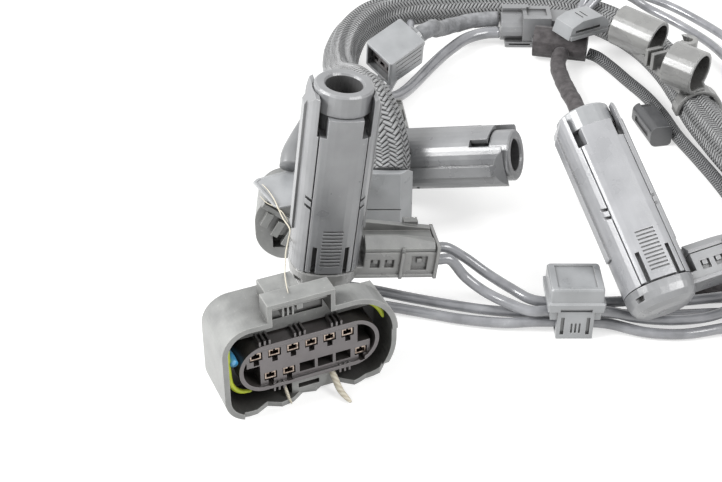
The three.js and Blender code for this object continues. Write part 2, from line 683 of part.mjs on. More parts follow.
function squareInsert() {
  const { length, width, height, wall, mouthDepth } = squareSize;
  const [front, back] = [-length / 2 + 2.2, -length / 2 + mouthDepth - gap];
  const side = width / 2 - wall - gap;
  const body = block([front, -side, wall + gap], [back, side, height - wall - gap]);
  const cavities = [];
  for (let row = 0; row < 2; row += 1) {
    for (let index = 0; index < 3; index += 1) {
      const [y, z] = [(index - 1) * 3.4, height / 2 + (row - 0.5) * 4.2];
      cavities.push(block([front - 1, y - 1.1, z - 1.1], [front + 3, y + 1.1, z + 1.1]));
    }
  }
  return cut(body, cavities);
}

// Stepped plug on the trunk

const steppedPlace = { origin: [65.6, 133.5, 0.1], side: [1, -0.02, 0] };

function steppedPlug() {
  const barrel = bar(10.5, -12.6, -3, 0, 0, 18);
  const turnedBarrel = barrel.transform(placing([0, 0, 6.2], [0, Math.PI / 2, 0]).toArray());
  const solids = [
    turnedBarrel,
    block([-4.5, -5.6, 1], [6, 5.6, 12]),
    block([5.5, -4.6, 2], [12.6, 5.2, 10.6]),
    block([-11, -6.2, 0.4], [1, 4, 2.4]),
    block([-1, -6.9, 3], [9, -4, 4.4]),
    block([-12, 2, 7], [-2, 5.4, 12.6]),
  ];
  const cutters = [
    block([-9.5, -8, 1.2], [-1.5, -4.4, 1.8]),
    block([1.5, -8, 5.5], [8.5, -4.9, 6.1]),
    block([-3, -3, 11.2], [4.5, 3, 13]),
  ];
  return cut(join(solids), cutters);
}

// Grey clip block on the branch point

const clipBlockPlace = { origin: [80.5, 117, 12.7], side: [0.86, 0.5, 0] };

function greyClipBlock() {
  const outline = polygon([[-9, 0], [-7.5, 4.6], [-3, 6.4], [6, 6.4], [9, 4], [9, 0]]);
  const body = deepPrism(outline, -5, 5);
  const lip = block([-8.4, -5.8, 0], [8, -4.5, 1.4]);
  const marks = [0, 1].map((index) => block([-1.4 + index * 2, -2.4, 5.9], [-0.8 + index * 2, 2.4, 7]));
  return cut(join([body, lip]), [...marks, block([-6, -7, 2.2], [5, -3.8, 3.2])]);
}

// Clip with two open cups, mounted along the wide sleeve

const cupPlaces = [
  { origin: [98, 99, 20.5], axis: [0.75, -0.62, -0.1], diameter: 14.4, length: 16, bore: 12.5 },
  { origin: [109, 70.4, 21.7], axis: [0.76, -0.63, -0.06], diameter: 15, length: 11, bore: 9 },
];
const cupWall = 1.2;
const cupBand = { origin: [114.8, 69.4, 6.6], axis: [0.1, -0.995, 0], diameter: 16.2, bore: 13.8, length: 5 };

// Round bar on a place: a middle point, an axis and a length
function barOn({ origin, axis, length }, diameter, from = -length / 2, to = length / 2) {
  const turn = new THREE.Quaternion().setFromUnitVectors(
    new THREE.Vector3(0, 0, 1), new THREE.Vector3(...axis).normalize());
  const matrix = new THREE.Matrix4().compose(new THREE.Vector3(...origin), turn, new THREE.Vector3(1, 1, 1));
  return bar(diameter, from, to, 0, 0, 24).transform(matrix.toArray());
}

function twinCupClip() {
  const band = cut(barOn(cupBand, cupBand.diameter), [
    barOn(cupBand, cupBand.bore, -cupBand.length, cupBand.length),
    block([90, 50, -3], [130, 90, cupBand.origin[2] - 1]),
  ]);
  const solids = [
    ...cupPlaces.map((cup) => barOn(cup, cup.diameter)), band,
    block([-3, -19, 0], [3, 15, 2.8]).rotate([0, 0, 21]).translate([103.4, 86, 13.4]),
    block([-3, -2.2, 0], [4, 2.2, 4.5]).rotate([0, 0, 10]).translate([111.6, 69.6, 13.6]),
    block([-7, -2.6, 0], [6, -0.9, 6]).rotate([0, 0, 25]).translate([105.6, 85.6, 15.4]),
    block([-7, 0.9, 0], [9, 2.6, 6]).rotate([0, 0, 25]).translate([105.6, 85.6, 15.4]),
    bar(7.6, 16, 22.4, 113.4, 90.4, 16),
  ];
  const bores = cupPlaces.map((cup) =>
    barOn(cup, cup.diameter - 2 * cupWall, cup.length / 2 - cup.bore, cup.length));
  return cut(join(solids), [...bores, bar(4, 18, 24, 113.4, 90.4, 12)]);
}

const tabPlace = { origin: [98.6, 63.4, 0.3], side: [0.2, -0.98, 0] };

function tabClip() {
  const body = sidePrism(roundedRect(7.6, 7.4, 2.4, 1.4, 0, 3.7), -8.5, 8.5, 3);
  return cut(body, [block([-5.5, -9, 2.6], [6, -3.3, 4.6]), block([-9, -1.6, 6.6], [-5.5, 1.6, 8])]);
}

// Clip box round the front bundle

const clipBox = {
  left: 50.6, right: 66, front: -47.6, back: -34.4, split: 9.6, top: 17, legLeft: 53.4, legRight: 63.4,
};
const bundle = { rows: [-39, -42.8], heights: [2.8, 6.7] }; // places of the four wires in the clip box

function clipBoxBase() {
  const { left, right, front, back, split, legLeft, legRight } = clipBox;
  const channelFront = Math.min(...bundle.rows) - wireDiameter / 2 - gap;
  const channelBack = Math.max(...bundle.rows) + wireDiameter / 2 + gap;
  const channelBottom = Math.min(...bundle.heights) - wireDiameter / 2 - gap;
  const channelTop = Math.max(...bundle.heights) + wireDiameter / 2 + gap;
  const solids = [
    block([legLeft, front + 0.6, 0.2], [legRight, back - 0.6, split - gap]),
    block([left + 0.8, front + 1, 6.4], [right - 0.8, back - 1, split - gap]),
  ];
  const grooves = [0, 1, 2].map((index) => block(
    [57.2 + index * 1.1, front, 2.2], [57.7 + index * 1.1, front + 1.2, 5.4]));
  return cut(join(solids), [
    block([left - 1, channelFront, channelBottom], [right + 1, channelBack, channelTop]),
    block([legLeft + 1, front, 1.6], [legLeft + 2, front + 1.4, 7.4]),
    block([legRight - 2, front, 1.6], [legRight - 1, front + 1.4, 7.4]), ...grooves,
  ]);
}

function clipBoxLid() {
  const { left, right, front, back, split, top } = clipBox;
  const [x, y] = [(left + right) / 2, (front + back) / 2];
  const levels = [[split, 1], [split + 2.6, 1.03], [split + 3, 0.95], [top - 0.5, 0.94], [top, 0.9]];
  const body = lofted(levels.map(([, scale]) => roundedRect((right - left) * scale, (back - front) * scale,
    0.7, 0.7, x, y)), levels.map(([height]) => height));
  return cut(body, [
    block([left + 2.4, front + 1.6, top - 0.35], [right - 2.4, back - 1.6, top + 1]),
    block([left + 3.4, front - 1, split - 1], [right - 3.4, front + 0.9, split + 1.1]),
    block([left + 1.6, front + 1.8, split - 1], [right - 1.6, back - 1.8, top - 1.7]),
  ]);
}

function addSmallPieces() {
  const square = frameAt(squarePlace);
  addPiece(square, 'square_housing', 'greyPlastic', squareHousing());
  addPiece(square, 'square_insert', 'insertPlastic', squareInsert());
  addPiece(frameAt(steppedPlace), 'stepped_plug', 'blackPlastic', steppedPlug());
  addPiece(frameAt(clipBlockPlace), 'clip_block', 'greyPlastic', greyClipBlock());
  addPiece(harness, 'cup_clip', 'greyPlastic', twinCupClip());
  addPiece(frameAt(tabPlace), 'tab_clip', 'greyPlastic', tabClip());
  addPiece(harness, 'clip_box_base', 'greyPlastic', clipBoxBase());
  addPiece(harness, 'clip_box_lid', 'greyPlastic', clipBoxLid());
}

// Tape wraps: one where the bundles meet on the right, one on the branch point

const wrapAxis = [0.6, 0.8, 0];
const wrapMiddle = [116, -33.5, 7.7];
const wrapLength = 15;
const branchWrap = { from: [64.5, 120.8, 6.6], to: [83.5, 116.2, 6.6], diameter: 11.5 };

function tapeBar(from, to, diameter) {
  const [start, end] = [new THREE.Vector3(...from), new THREE.Vector3(...to)];
  const along = end.clone().sub(start);
  const waist = new THREE.CylinderGeometry(diameter / 2, diameter / 2, along.length(), 16);
  const turn = new THREE.Quaternion().setFromUnitVectors(new THREE.Vector3(0, 1, 0), along.normalize());
  const middle = start.add(end).multiplyScalar(0.5);
  return solidOf(waist, new THREE.Matrix4().compose(middle, turn, new THREE.Vector3(1, 1, 1)));
}

// Point on the axis of the right wrap, at a distance from its middle, with an offset across it
function wrapPoint(along, across = 0, up = 0) {
  return [
    wrapMiddle[0] + wrapAxis[0] * along + wrapAxis[1] * across,
    wrapMiddle[1] + wrapAxis[1] * along - wrapAxis[0] * across,
    wrapMiddle[2] + up,
  ];
}

// First points of a wire that leaves a cable arm through one of its two end holes
function armExit(letter, index) {
  const [side, height] = [index === 0 ? -armWireSide : armWireSide, armWireHeights[index]];
  return [armEnd - 3.2, armEnd + 1, armEnd + 4].map((x) =>
    new THREE.Vector3(x, side, height).applyMatrix4(plugGroups[letter].matrix).toArray());
}

const cordNames = [];

function addCord(name, diameter, finish, points, sides = 8) {
  cordNames.push(name);
  addPiece(harness, name, finish, tube(points, diameter, sides));
}

function addCords() {
  const [backRow, frontRow] = bundle.rows;
  const [low, high] = bundle.heights;
  const half = wrapLength / 2 + gap + 0.1;
  addCord('braid_main', braidDiameter, 'braid', [
    [8.3, rearBlock.seat[0] + 0.3, rearBlock.seat[1] + 0.3], [8.3, 10.6, 23.8], [6.8, 16, 29.8], [3.6, 24, 34.2],
    [-0.2, 34, 33.8], [-3.6, 46, 28.8], [-5.4, 62, 20.8],
    [-6.4, 79, 13.4], [-7.4, 97, 8.6], [-6.6, 113, 6.6], [-2.8, 128, 6.6], [5, 140.4, 6.6], [18, 148, 6.6],
    [34, 150.6, 6.6], [52, 151.4, 6.6], [70, 150, 6.6], [86, 143.4, 6.6], [98, 131, 6.6], [106.4, 115, 6.6],
    [111.4, 97, 6.6], [114, 78, 6.6], [115.8, 61, 6.6], [119.4, 43, 6.6], [123, 26, 6.6], [125.4, 8, 6.8],
    [126.6, -10, 7.3], wrapPoint(half + 6), wrapPoint(half)], 12);
  addCord('braid_thin', thinBraidDiameter, 'braid', [
    [84, 115.4, 4], [87, 114, 3.4], [91.4, 107.4, 2.6], [95.6, 97.8, 2.3], [100.8, 85, 2.3], [104.2, 72, 2.3], [106.6, 58, 2.3],
    [110.4, 44, 2.3], [114, 30, 2.3], [116.6, 16, 2.3], [117.2, 2, 2.3], [115.6, -10, 2.6], [112.2, -19.6, 4]]);
  addCord('branch_taped', branchDiameter, 'tape', [
    [73.6, 112.35, 5.6], [71.7, 106, 4.4], [72.2, 96, 3.4], [74.4, 80, 3.2], [76.4, 62, 3.2], [77.8, 44, 3.2],
    [78.8, 26, 3.2], [79.4, 8, 3.2], [79.4, -10, 3.2], [81.4, -21, 3.2], [88, -28.4, 3.2], [97, -30.6, 3.4],
    [104.4, -31.6, 4.4]]);
  addCord('side_tube', sideTubeDiameter, 'tape', [
    [-21, 1.6, 25.4], [-20.6, 5, 27.4], [-18.6, 12, 28.4], [-15.4, 21, 30], [-14.2, 31, 30.4], [-14.4, 40, 28.4],
    [-14.7, 51, 23], [-15.2, 61, 16.6]]);
  addCord('wire_glossy', glossyDiameter, 'wire', [
    [9.4, 78, 5.6], [12.4, 82, 4.2], [16, 88.6, 3], [20.4, 97.4, 2.6], [25.8, 107.8, 2.8], [32.6, 118.8, 3.4],
    [40, 127, 4.4], [47.6, 130.4, 4.9], [52.3, 130.6, 5]]);
  addCord('square_lead', squareLeadDiameter, 'tape', [
    [20.15, 101.66, 17.88], [22.6, 103.6, 18.75], [26, 108.4, 18], [27, 116, 13.6], [29.4, 124, 9.8], [35.4, 131.4, 7.8],
    [43.6, 135.8, 7.6], [52.2, 136.6, 7.8]]);
  addCord('wire_upper_1', upperDiameter, 'wire', [
    [79, 130.6, 7.6], [81, 130.8, 8], [85, 134, 12.6], [90.4, 138.6, 16], [97, 144, 16], [104, 147.6, 11.6],
    [111, 146.6, 7.6],
    [122, 136, 5.4], [131, 122, 4.2], [136, 104, 3.6], [137.4, 84, 3.4], [136.4, 60, 3.4], [134.6, 34, 3.4],
    [134.6, 8, 3.4], [134.8, -12, 4], [132.8, -24.6, 6], [127.8, -31.4, 8.2]]);
  addCord('wire_upper_2', upperDiameter, 'wire', [
    [79, 134.8, 8.4], [81.4, 135, 9], [84.4, 137.8, 13.6], [88, 142.8, 17], [92.4, 149.4, 17], [99.4, 154.8, 13.4],
    [110, 156.4, 8.4], [120, 151, 6.6],
    [130, 140.6, 5], [139, 125.4, 4], [143.6, 106, 3.6], [144.6, 84, 3.4], [143.4, 60, 3.4], [141.4, 34, 3.4],
    [140.6, 8, 3.4], [140, -12, 4], [137, -27, 5], [125.2, -37.4, 6.4]]);
  addCord('wire_a_1', wireDiameter, 'wire', [
    ...armExit('a', 0), [29, -33.2, 11], [34.6, -35.6, 7.6], [40.6, -39.8, 6.9], [46.4, frontRow - 0.2, high],
    [52, frontRow, high], [60, frontRow, high], [68, frontRow, high - 0.4], [76, -43, 4.3], [86, -43.3, 3.7],
    [96, -43, 4.8], [103, -42.6, 8], wrapPoint(-half - 2.6, -1.4, 3.4), wrapPoint(-half, -1.4, 3.4)]);
  addCord('wire_a_2', wireDiameter, 'wire', [
    ...armExit('a', 1), [29, -28, 14], [35.4, -29.6, 9.6], [42, -33.8, 7.4], [47, -37.8, 6.8],
    [52, backRow, high], [60, backRow, high], [68, backRow + 0.3, high - 0.2], [77, -37, 5.6], [87, -36, 4.6],
    [97, -36.4, 6], [103.6, -38.4, 8.6], wrapPoint(-half - 2.6, -4.8, 1.6), wrapPoint(-half, -4.8, 1.6)]);
  addCord('wire_oval_1', wireDiameter, 'wire', [
    [-14.6, -42.2, 8], [-15.4, -39.8, 7.8], [-13.6, -34.6, 7.2], [-7, -31, 6.2], [2, -30.4, 4.6], [14, -32.2, 3],
    [24, -34.6, 2.6], [35, -37.4, 2.7], [45, -38.8, low], [52, backRow, low], [60, backRow, low], [68, backRow, low],
    [78, -39.2, 2.2], [88, -39, 2.2], [98, -39.6, 3.2],
    wrapPoint(-half - 3.6, -3.2, -3.2), wrapPoint(-half, -3.2, -3.2)]);
  addCord('wire_oval_2', wireDiameter, 'wire', [
    [-10, -40.2, 7.4], [-10.8, -38, 7], [-8.6, -35, 5.2], [-2, -34, 3.2], [6, -34.6, 2.1], [16, -37.2, 1.9],
    [28, -40.6, 1.9], [40, -42.8, 2.3], [47, frontRow - 0.1, low], [52, frontRow, low], [60, frontRow, low],
    [68, frontRow - 0.4, low - 0.4], [78, -46.4, 1.9], [88, -47.2, 1.9], [98, -45.6, 2.4],
    wrapPoint(-half - 3.6, 2.6, -3.4), wrapPoint(-half, 2.6, -3.4)]);
  addCord('wire_c_1', wireDiameter, 'wire', [
    ...armExit('c', 0), [117.4, -36.4, 24.2], [119.2, -35.4, 20.4], [118.6, -34.4, 15.8]]);
  addCord('wire_c_2', wireDiameter, 'wire', [
    ...armExit('c', 1), [117.6, -30.6, 26.6], [120.8, -29, 22.4], [119, -30.2, 15.8]]);
  addCord('wire_b_1', wireDiameter, 'wire', [
    ...armExit('b', 0), [2.4, 72, 8], [5.6, 80, 3.4], [9, 90, 1.8], [13, 104, 1.8], [16.4, 118, 1.8],
    [18.4, 130, 3], [19, 139.6, 5]]);
  addCord('wire_b_2', wireDiameter, 'wire', [
    ...armExit('b', 1), [-2, 71, 9], [1.6, 79, 3.6], [4.6, 90, 1.8], [8, 104, 1.8], [11, 117, 1.8],
    [12.8, 127, 3], [13.2, 135.4, 5]]);
}

// The whole harness

['a', 'b', 'c'].forEach(addPlug);
addOvalConnector();
addRearConnector();
addSmallPieces();
addPiece(harness, 'tape_wrap', 'tape', tapeBar(wrapPoint(-wrapLength / 2), wrapPoint(wrapLength / 2), wrapDiameter));
addPiece(harness, 'branch_wrap', 'tape', tapeBar(branchWrap.from, branchWrap.to, branchWrap.diameter));
addCords();

// Origin in the middle of the underside of everything but the wires and sleeves
harness.updateMatrixWorld(true);
const body = new THREE.Box3();
harness.traverse((piece) => {
  if (piece.isMesh && !cordNames.includes(piece.name)) body.union(new THREE.Box3().setFromObject(piece, true));
});
harness.position.set(-(body.min.x + body.max.x) / 2, -(body.min.y + body.max.y) / 2, -body.min.z);

export default harness;
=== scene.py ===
# Wiring harness: three long round plugs, an oval connector and the bundles between them
import math
from fnmatch import fnmatch

import bpy
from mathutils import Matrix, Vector, noise


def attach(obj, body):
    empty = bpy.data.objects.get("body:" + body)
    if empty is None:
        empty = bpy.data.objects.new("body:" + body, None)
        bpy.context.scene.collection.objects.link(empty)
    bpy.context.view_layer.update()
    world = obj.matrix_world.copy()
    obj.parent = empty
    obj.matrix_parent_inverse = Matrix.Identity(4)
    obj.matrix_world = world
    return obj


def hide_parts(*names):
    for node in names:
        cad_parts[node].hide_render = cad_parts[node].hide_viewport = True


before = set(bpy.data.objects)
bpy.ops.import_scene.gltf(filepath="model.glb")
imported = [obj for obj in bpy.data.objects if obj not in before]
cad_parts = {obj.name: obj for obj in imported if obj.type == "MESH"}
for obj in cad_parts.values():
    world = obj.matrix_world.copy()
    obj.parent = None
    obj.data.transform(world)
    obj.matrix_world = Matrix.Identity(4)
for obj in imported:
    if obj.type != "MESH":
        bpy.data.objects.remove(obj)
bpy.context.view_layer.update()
print("frame loaded:", len(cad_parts), "nodes")


# sRGB hex to the linear values that Blender works in
def linear(hexCode):
    parts = [int(hexCode[i:i + 2], 16) / 255 for i in (1, 3, 5)]
    return tuple(c / 12.92 if c <= 0.04045 else ((c + 0.055) / 1.055) ** 2.4 for c in parts) + (1.0,)


# Adds a node; each input is a value, or the output that feeds it
def addNode(tree, kind, inputs=None, **settings):
    node = tree.nodes.new(kind)
    for name, value in settings.items():
        setattr(node, name, value)
    for name, value in (inputs or {}).items():
        if isinstance(value, bpy.types.NodeSocket):
            tree.links.new(value, node.inputs[name])
        else:
            node.inputs[name].default_value = value
    return node


def newMaterial(name):
    material = bpy.data.materials.new(name)
    material.use_nodes = True
    material.node_tree.nodes.clear()
    return material, material.node_tree


# 1 for a ray from the camera, also by way of a reflection or through clear stuff; 0 for other light
def seenByCamera(tree):
    path = addNode(tree, "ShaderNodeLightPath")
    seen = path.outputs["Is Camera Ray"]
    for other in ("Is Glossy Ray", "Is Transmission Ray"):
        either = addNode(tree, "ShaderNodeMath", {0: seen, 1: path.outputs[other]}, operation="MAXIMUM")
        seen = either.outputs[0]
    return seen


# Makes a mesh object that rides on the harness
def addPiece(name, verts, faces, material, uvs=None, smooth=True):
    mesh = bpy.data.meshes.new(name)
    mesh.from_pydata([tuple(v) for v in verts], [], faces)
    if uvs:
        layer = mesh.uv_layers.new(name="alongAndRound")
        for loop, uv in zip(layer.data, uvs):
            loop.uv = uv
    mesh.validate()
    mesh.polygons.foreach_set("use_smooth", [smooth] * len(mesh.polygons))
    piece = bpy.data.objects.new(name, mesh)
    bpy.context.scene.collection.objects.link(piece)
    if material:
        mesh.materials.append(material)
    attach(piece, "root")
    return piece


# Camera: above the front edge, looking 35 degrees down
view = {"place": (-0.04303, -0.36856, 0.23804), "tilt": 55.0, "lens": 68.31, "sensor": 36.0}

cameraData = bpy.data.cameras.new("camera")
cameraData.sensor_fit = "HORIZONTAL"
cameraData.sensor_width = view["sensor"]
cameraData.lens = view["lens"]
cameraData.clip_start = 0.01
camera = bpy.data.objects.new("camera", cameraData)
camera.location = view["place"]
camera.rotation_euler = (math.radians(view["tilt"]), 0, 0)
bpy.context.scene.collection.objects.link(camera)
bpy.context.scene.camera = camera
print("camera placed")


# Routes of the wires and sleeves, in metres, each from where it leaves its connector
cords = {
    "braid_main": {"diameter": 12.6, "points": [
        (-0.0347, -0.0215, 0.0203), (-0.0347, -0.0180, 0.0238), (-0.0362, -0.0126, 0.0298),
        (-0.0394, -0.0046, 0.0342), (-0.0432, 0.0054, 0.0338), (-0.0466, 0.0174, 0.0288),
        (-0.0484, 0.0334, 0.0208), (-0.0494, 0.0504, 0.0134), (-0.0504, 0.0684, 0.0086),
        (-0.0496, 0.0844, 0.0066), (-0.0458, 0.0994, 0.0066), (-0.0380, 0.1118, 0.0066),
        (-0.0250, 0.1194, 0.0066), (-0.0090, 0.1220, 0.0066), (0.0090, 0.1228, 0.0066),
        (0.0270, 0.1214, 0.0066), (0.0430, 0.1148, 0.0066), (0.0550, 0.1024, 0.0066),
        (0.0634, 0.0864, 0.0066), (0.0684, 0.0684, 0.0066), (0.0710, 0.0494, 0.0066),
        (0.0728, 0.0324, 0.0066), (0.0764, 0.0144, 0.0066), (0.0800, -0.0026, 0.0066),
        (0.0824, -0.0206, 0.0068), (0.0836, -0.0386, 0.0073), (0.0813, -0.0510, 0.0077),
        (0.0777, -0.0558, 0.0077),
    ]},
    "braid_thin": {"diameter": 4.2, "points": [
        (0.0410, 0.0868, 0.0040), (0.0440, 0.0854, 0.0034), (0.0484, 0.0788, 0.0026),
        (0.0526, 0.0692, 0.0023), (0.0578, 0.0564, 0.0023), (0.0612, 0.0434, 0.0023),
        (0.0636, 0.0294, 0.0023), (0.0674, 0.0154, 0.0023), (0.0710, 0.0014, 0.0023),
        (0.0736, -0.0126, 0.0023), (0.0742, -0.0266, 0.0023), (0.0726, -0.0386, 0.0026),
        (0.0692, -0.0482, 0.0040),
    ]},
    "branch_taped": {"diameter": 6, "points": [
        (0.0306, 0.0838, 0.0056), (0.0287, 0.0774, 0.0044), (0.0292, 0.0674, 0.0034),
        (0.0314, 0.0514, 0.0032), (0.0334, 0.0334, 0.0032), (0.0348, 0.0154, 0.0032),
        (0.0358, -0.0026, 0.0032), (0.0364, -0.0206, 0.0032), (0.0364, -0.0386, 0.0032),
        (0.0384, -0.0496, 0.0032), (0.0450, -0.0570, 0.0032), (0.0540, -0.0592, 0.0034),
        (0.0614, -0.0602, 0.0044),
    ]},
    "side_tube": {"diameter": 6, "points": [
        (-0.0640, -0.0270, 0.0254), (-0.0636, -0.0236, 0.0274), (-0.0616, -0.0166, 0.0284),
        (-0.0584, -0.0076, 0.0300), (-0.0572, 0.0024, 0.0304), (-0.0574, 0.0114, 0.0284),
        (-0.0577, 0.0224, 0.0230), (-0.0582, 0.0324, 0.0166),
    ]},
    "wire_glossy": {"diameter": 4.4, "points": [
        (-0.0336, 0.0494, 0.0056), (-0.0306, 0.0534, 0.0042), (-0.0270, 0.0600, 0.0030),
        (-0.0226, 0.0688, 0.0026), (-0.0172, 0.0792, 0.0028), (-0.0104, 0.0902, 0.0034),
        (-0.0030, 0.0984, 0.0044), (0.0046, 0.1018, 0.0049), (0.0093, 0.1020, 0.0050),
    ]},
    "square_lead": {"diameter": 6, "points": [
        (-0.0229, 0.0731, 0.0179), (-0.0204, 0.0750, 0.0187), (-0.0170, 0.0798, 0.0180),
        (-0.0160, 0.0874, 0.0136), (-0.0136, 0.0954, 0.0098), (-0.0076, 0.1028, 0.0078),
        (0.0006, 0.1072, 0.0076), (0.0092, 0.1080, 0.0078),
    ]},
    "wire_upper_1": {"diameter": 3.2, "points": [
        (0.0360, 0.1020, 0.0076), (0.0380, 0.1022, 0.0080), (0.0420, 0.1054, 0.0126),
        (0.0474, 0.1100, 0.0160), (0.0540, 0.1154, 0.0160), (0.0610, 0.1190, 0.0116),
        (0.0680, 0.1180, 0.0076), (0.0790, 0.1074, 0.0054), (0.0880, 0.0934, 0.0042),
        (0.0930, 0.0754, 0.0036), (0.0944, 0.0554, 0.0034), (0.0934, 0.0314, 0.0034),
        (0.0916, 0.0054, 0.0034), (0.0916, -0.0206, 0.0034), (0.0918, -0.0406, 0.0040),
        (0.0898, -0.0532, 0.0060), (0.0848, -0.0600, 0.0082),
    ]},
    "wire_upper_2": {"diameter": 3.2, "points": [
        (0.0360, 0.1062, 0.0084), (0.0384, 0.1064, 0.0090), (0.0414, 0.1092, 0.0136),
        (0.0450, 0.1142, 0.0170), (0.0494, 0.1208, 0.0170), (0.0564, 0.1262, 0.0134),
        (0.0670, 0.1278, 0.0084), (0.0770, 0.1224, 0.0066), (0.0870, 0.1120, 0.0050),
        (0.0960, 0.0968, 0.0040), (0.1006, 0.0774, 0.0036), (0.1016, 0.0554, 0.0034),
        (0.1004, 0.0314, 0.0034), (0.0984, 0.0054, 0.0034), (0.0976, -0.0206, 0.0034),
        (0.0970, -0.0406, 0.0040), (0.0940, -0.0556, 0.0050), (0.0822, -0.0660, 0.0064),
    ]},
    "wire_a_1": {"diameter": 3, "points": [
        (-0.0258, -0.0621, 0.0172), (-0.0217, -0.0614, 0.0167), (-0.0187, -0.0608, 0.0164),
        (-0.0140, -0.0618, 0.0110), (-0.0084, -0.0642, 0.0076), (-0.0024, -0.0684, 0.0069),
        (0.0034, -0.0716, 0.0067), (0.0090, -0.0714, 0.0067), (0.0170, -0.0714, 0.0067),
        (0.0250, -0.0714, 0.0063), (0.0330, -0.0716, 0.0043), (0.0430, -0.0719, 0.0037),
        (0.0530, -0.0716, 0.0048), (0.0600, -0.0712, 0.0080), (0.0655, -0.0696, 0.0111),
        (0.0671, -0.0676, 0.0111),
    ]},
    "wire_a_2": {"diameter": 3, "points": [
        (-0.0263, -0.0582, 0.0185), (-0.0222, -0.0574, 0.0180), (-0.0193, -0.0569, 0.0176),
        (-0.0140, -0.0566, 0.0140), (-0.0076, -0.0582, 0.0096), (-0.0010, -0.0624, 0.0074),
        (0.0040, -0.0664, 0.0068), (0.0090, -0.0676, 0.0067), (0.0170, -0.0676, 0.0067),
        (0.0250, -0.0673, 0.0065), (0.0340, -0.0656, 0.0056), (0.0440, -0.0646, 0.0046),
        (0.0540, -0.0650, 0.0060), (0.0606, -0.0670, 0.0086), (0.0628, -0.0676, 0.0093),
        (0.0644, -0.0655, 0.0093),
    ]},
    "wire_oval_1": {"diameter": 3, "points": [
        (-0.0576, -0.0708, 0.0080), (-0.0584, -0.0684, 0.0078), (-0.0566, -0.0632, 0.0072),
        (-0.0500, -0.0596, 0.0062), (-0.0410, -0.0590, 0.0046), (-0.0290, -0.0608, 0.0030),
        (-0.0190, -0.0632, 0.0026), (-0.0080, -0.0660, 0.0027), (0.0020, -0.0674, 0.0028),
        (0.0090, -0.0676, 0.0028), (0.0170, -0.0676, 0.0028), (0.0250, -0.0676, 0.0028),
        (0.0350, -0.0678, 0.0022), (0.0450, -0.0676, 0.0022), (0.0550, -0.0682, 0.0032),
        (0.0635, -0.0694, 0.0045), (0.0657, -0.0665, 0.0045),
    ]},
    "wire_oval_2": {"diameter": 3, "points": [
        (-0.0530, -0.0688, 0.0074), (-0.0538, -0.0666, 0.0070), (-0.0516, -0.0636, 0.0052),
        (-0.0450, -0.0626, 0.0032), (-0.0370, -0.0632, 0.0021), (-0.0270, -0.0658, 0.0019),
        (-0.0150, -0.0692, 0.0019), (-0.0030, -0.0714, 0.0023), (0.0040, -0.0715, 0.0028),
        (0.0090, -0.0714, 0.0028), (0.0170, -0.0714, 0.0028), (0.0250, -0.0718, 0.0024),
        (0.0350, -0.0750, 0.0019), (0.0450, -0.0758, 0.0019), (0.0550, -0.0742, 0.0024),
        (0.0681, -0.0728, 0.0043), (0.0703, -0.0700, 0.0043),
    ]},
    "wire_c_1": {"diameter": 3, "points": [
        (0.0632, -0.0661, 0.0221), (0.0671, -0.0649, 0.0228), (0.0700, -0.0641, 0.0233),
        (0.0744, -0.0650, 0.0242), (0.0762, -0.0640, 0.0204), (0.0756, -0.0630, 0.0158),
    ]},
    "wire_c_2": {"diameter": 3, "points": [
        (0.0627, -0.0629, 0.0195), (0.0666, -0.0617, 0.0201), (0.0694, -0.0609, 0.0206),
        (0.0746, -0.0592, 0.0266), (0.0778, -0.0576, 0.0224), (0.0760, -0.0588, 0.0158),
    ]},
    "wire_b_1": {"diameter": 3, "points": [
        (-0.0349, 0.0262, 0.0088), (-0.0335, 0.0302, 0.0088), (-0.0324, 0.0330, 0.0088),
        (-0.0406, 0.0434, 0.0080), (-0.0374, 0.0514, 0.0034), (-0.0340, 0.0614, 0.0018),
        (-0.0300, 0.0754, 0.0018), (-0.0266, 0.0894, 0.0018), (-0.0246, 0.1014, 0.0030),
        (-0.0240, 0.1110, 0.0050),
    ]},
    "wire_b_2": {"diameter": 3, "points": [
        (-0.0348, 0.0262, 0.0129), (-0.0333, 0.0301, 0.0129), (-0.0322, 0.0329, 0.0129),
        (-0.0450, 0.0424, 0.0090), (-0.0414, 0.0504, 0.0036), (-0.0384, 0.0614, 0.0018),
        (-0.0350, 0.0754, 0.0018), (-0.0320, 0.0884, 0.0018), (-0.0302, 0.0984, 0.0030),
        (-0.0298, 0.1068, 0.0050),
    ]},
}


# Smooth line through the points of a route, with a point every step
def lineThrough(points, step):
    dense = [Vector(points[0])]
    count = len(points)
    for i in range(count - 1):
        p1, p2 = Vector(points[i]), Vector(points[i + 1])
        p0 = Vector(points[i - 1]) if i else p1 * 2 - p2
        p3 = Vector(points[i + 2]) if i + 2 < count else p2 * 2 - p1
        d0, d1, d2 = ((b - a).length ** 0.5 for a, b in ((p0, p1), (p1, p2), (p2, p3)))
        t1 = ((p1 - p0) / d0 - (p2 - p0) / (d0 + d1) + (p2 - p1) / d1) * d1
        t2 = ((p2 - p1) / d1 - (p3 - p1) / (d1 + d2) + (p3 - p2) / d2) * d1
        for k in range(1, 41):
            t = k / 40
            dense.append(p1 + t1 * t + (3 * (p2 - p1) - 2 * t1 - t2) * t ** 2
                         + (2 * (p1 - p2) + t1 + t2) * t ** 3)
    reach = [0.0]
    for a, b in zip(dense, dense[1:]):
        reach.append(reach[-1] + (b - a).length)
    pieces = max(2, round(reach[-1] / step))
    line, at = [], 0
    for k in range(pieces + 1):
        wanted = reach[-1] * k / pieces
        while at < len(reach) - 2 and reach[at + 1] < wanted:
            at += 1
        share = (wanted - reach[at]) / (reach[at + 1] - reach[at])
        line.append(dense[at].lerp(dense[at + 1], min(1.0, share)))
    return line, reach[-1]


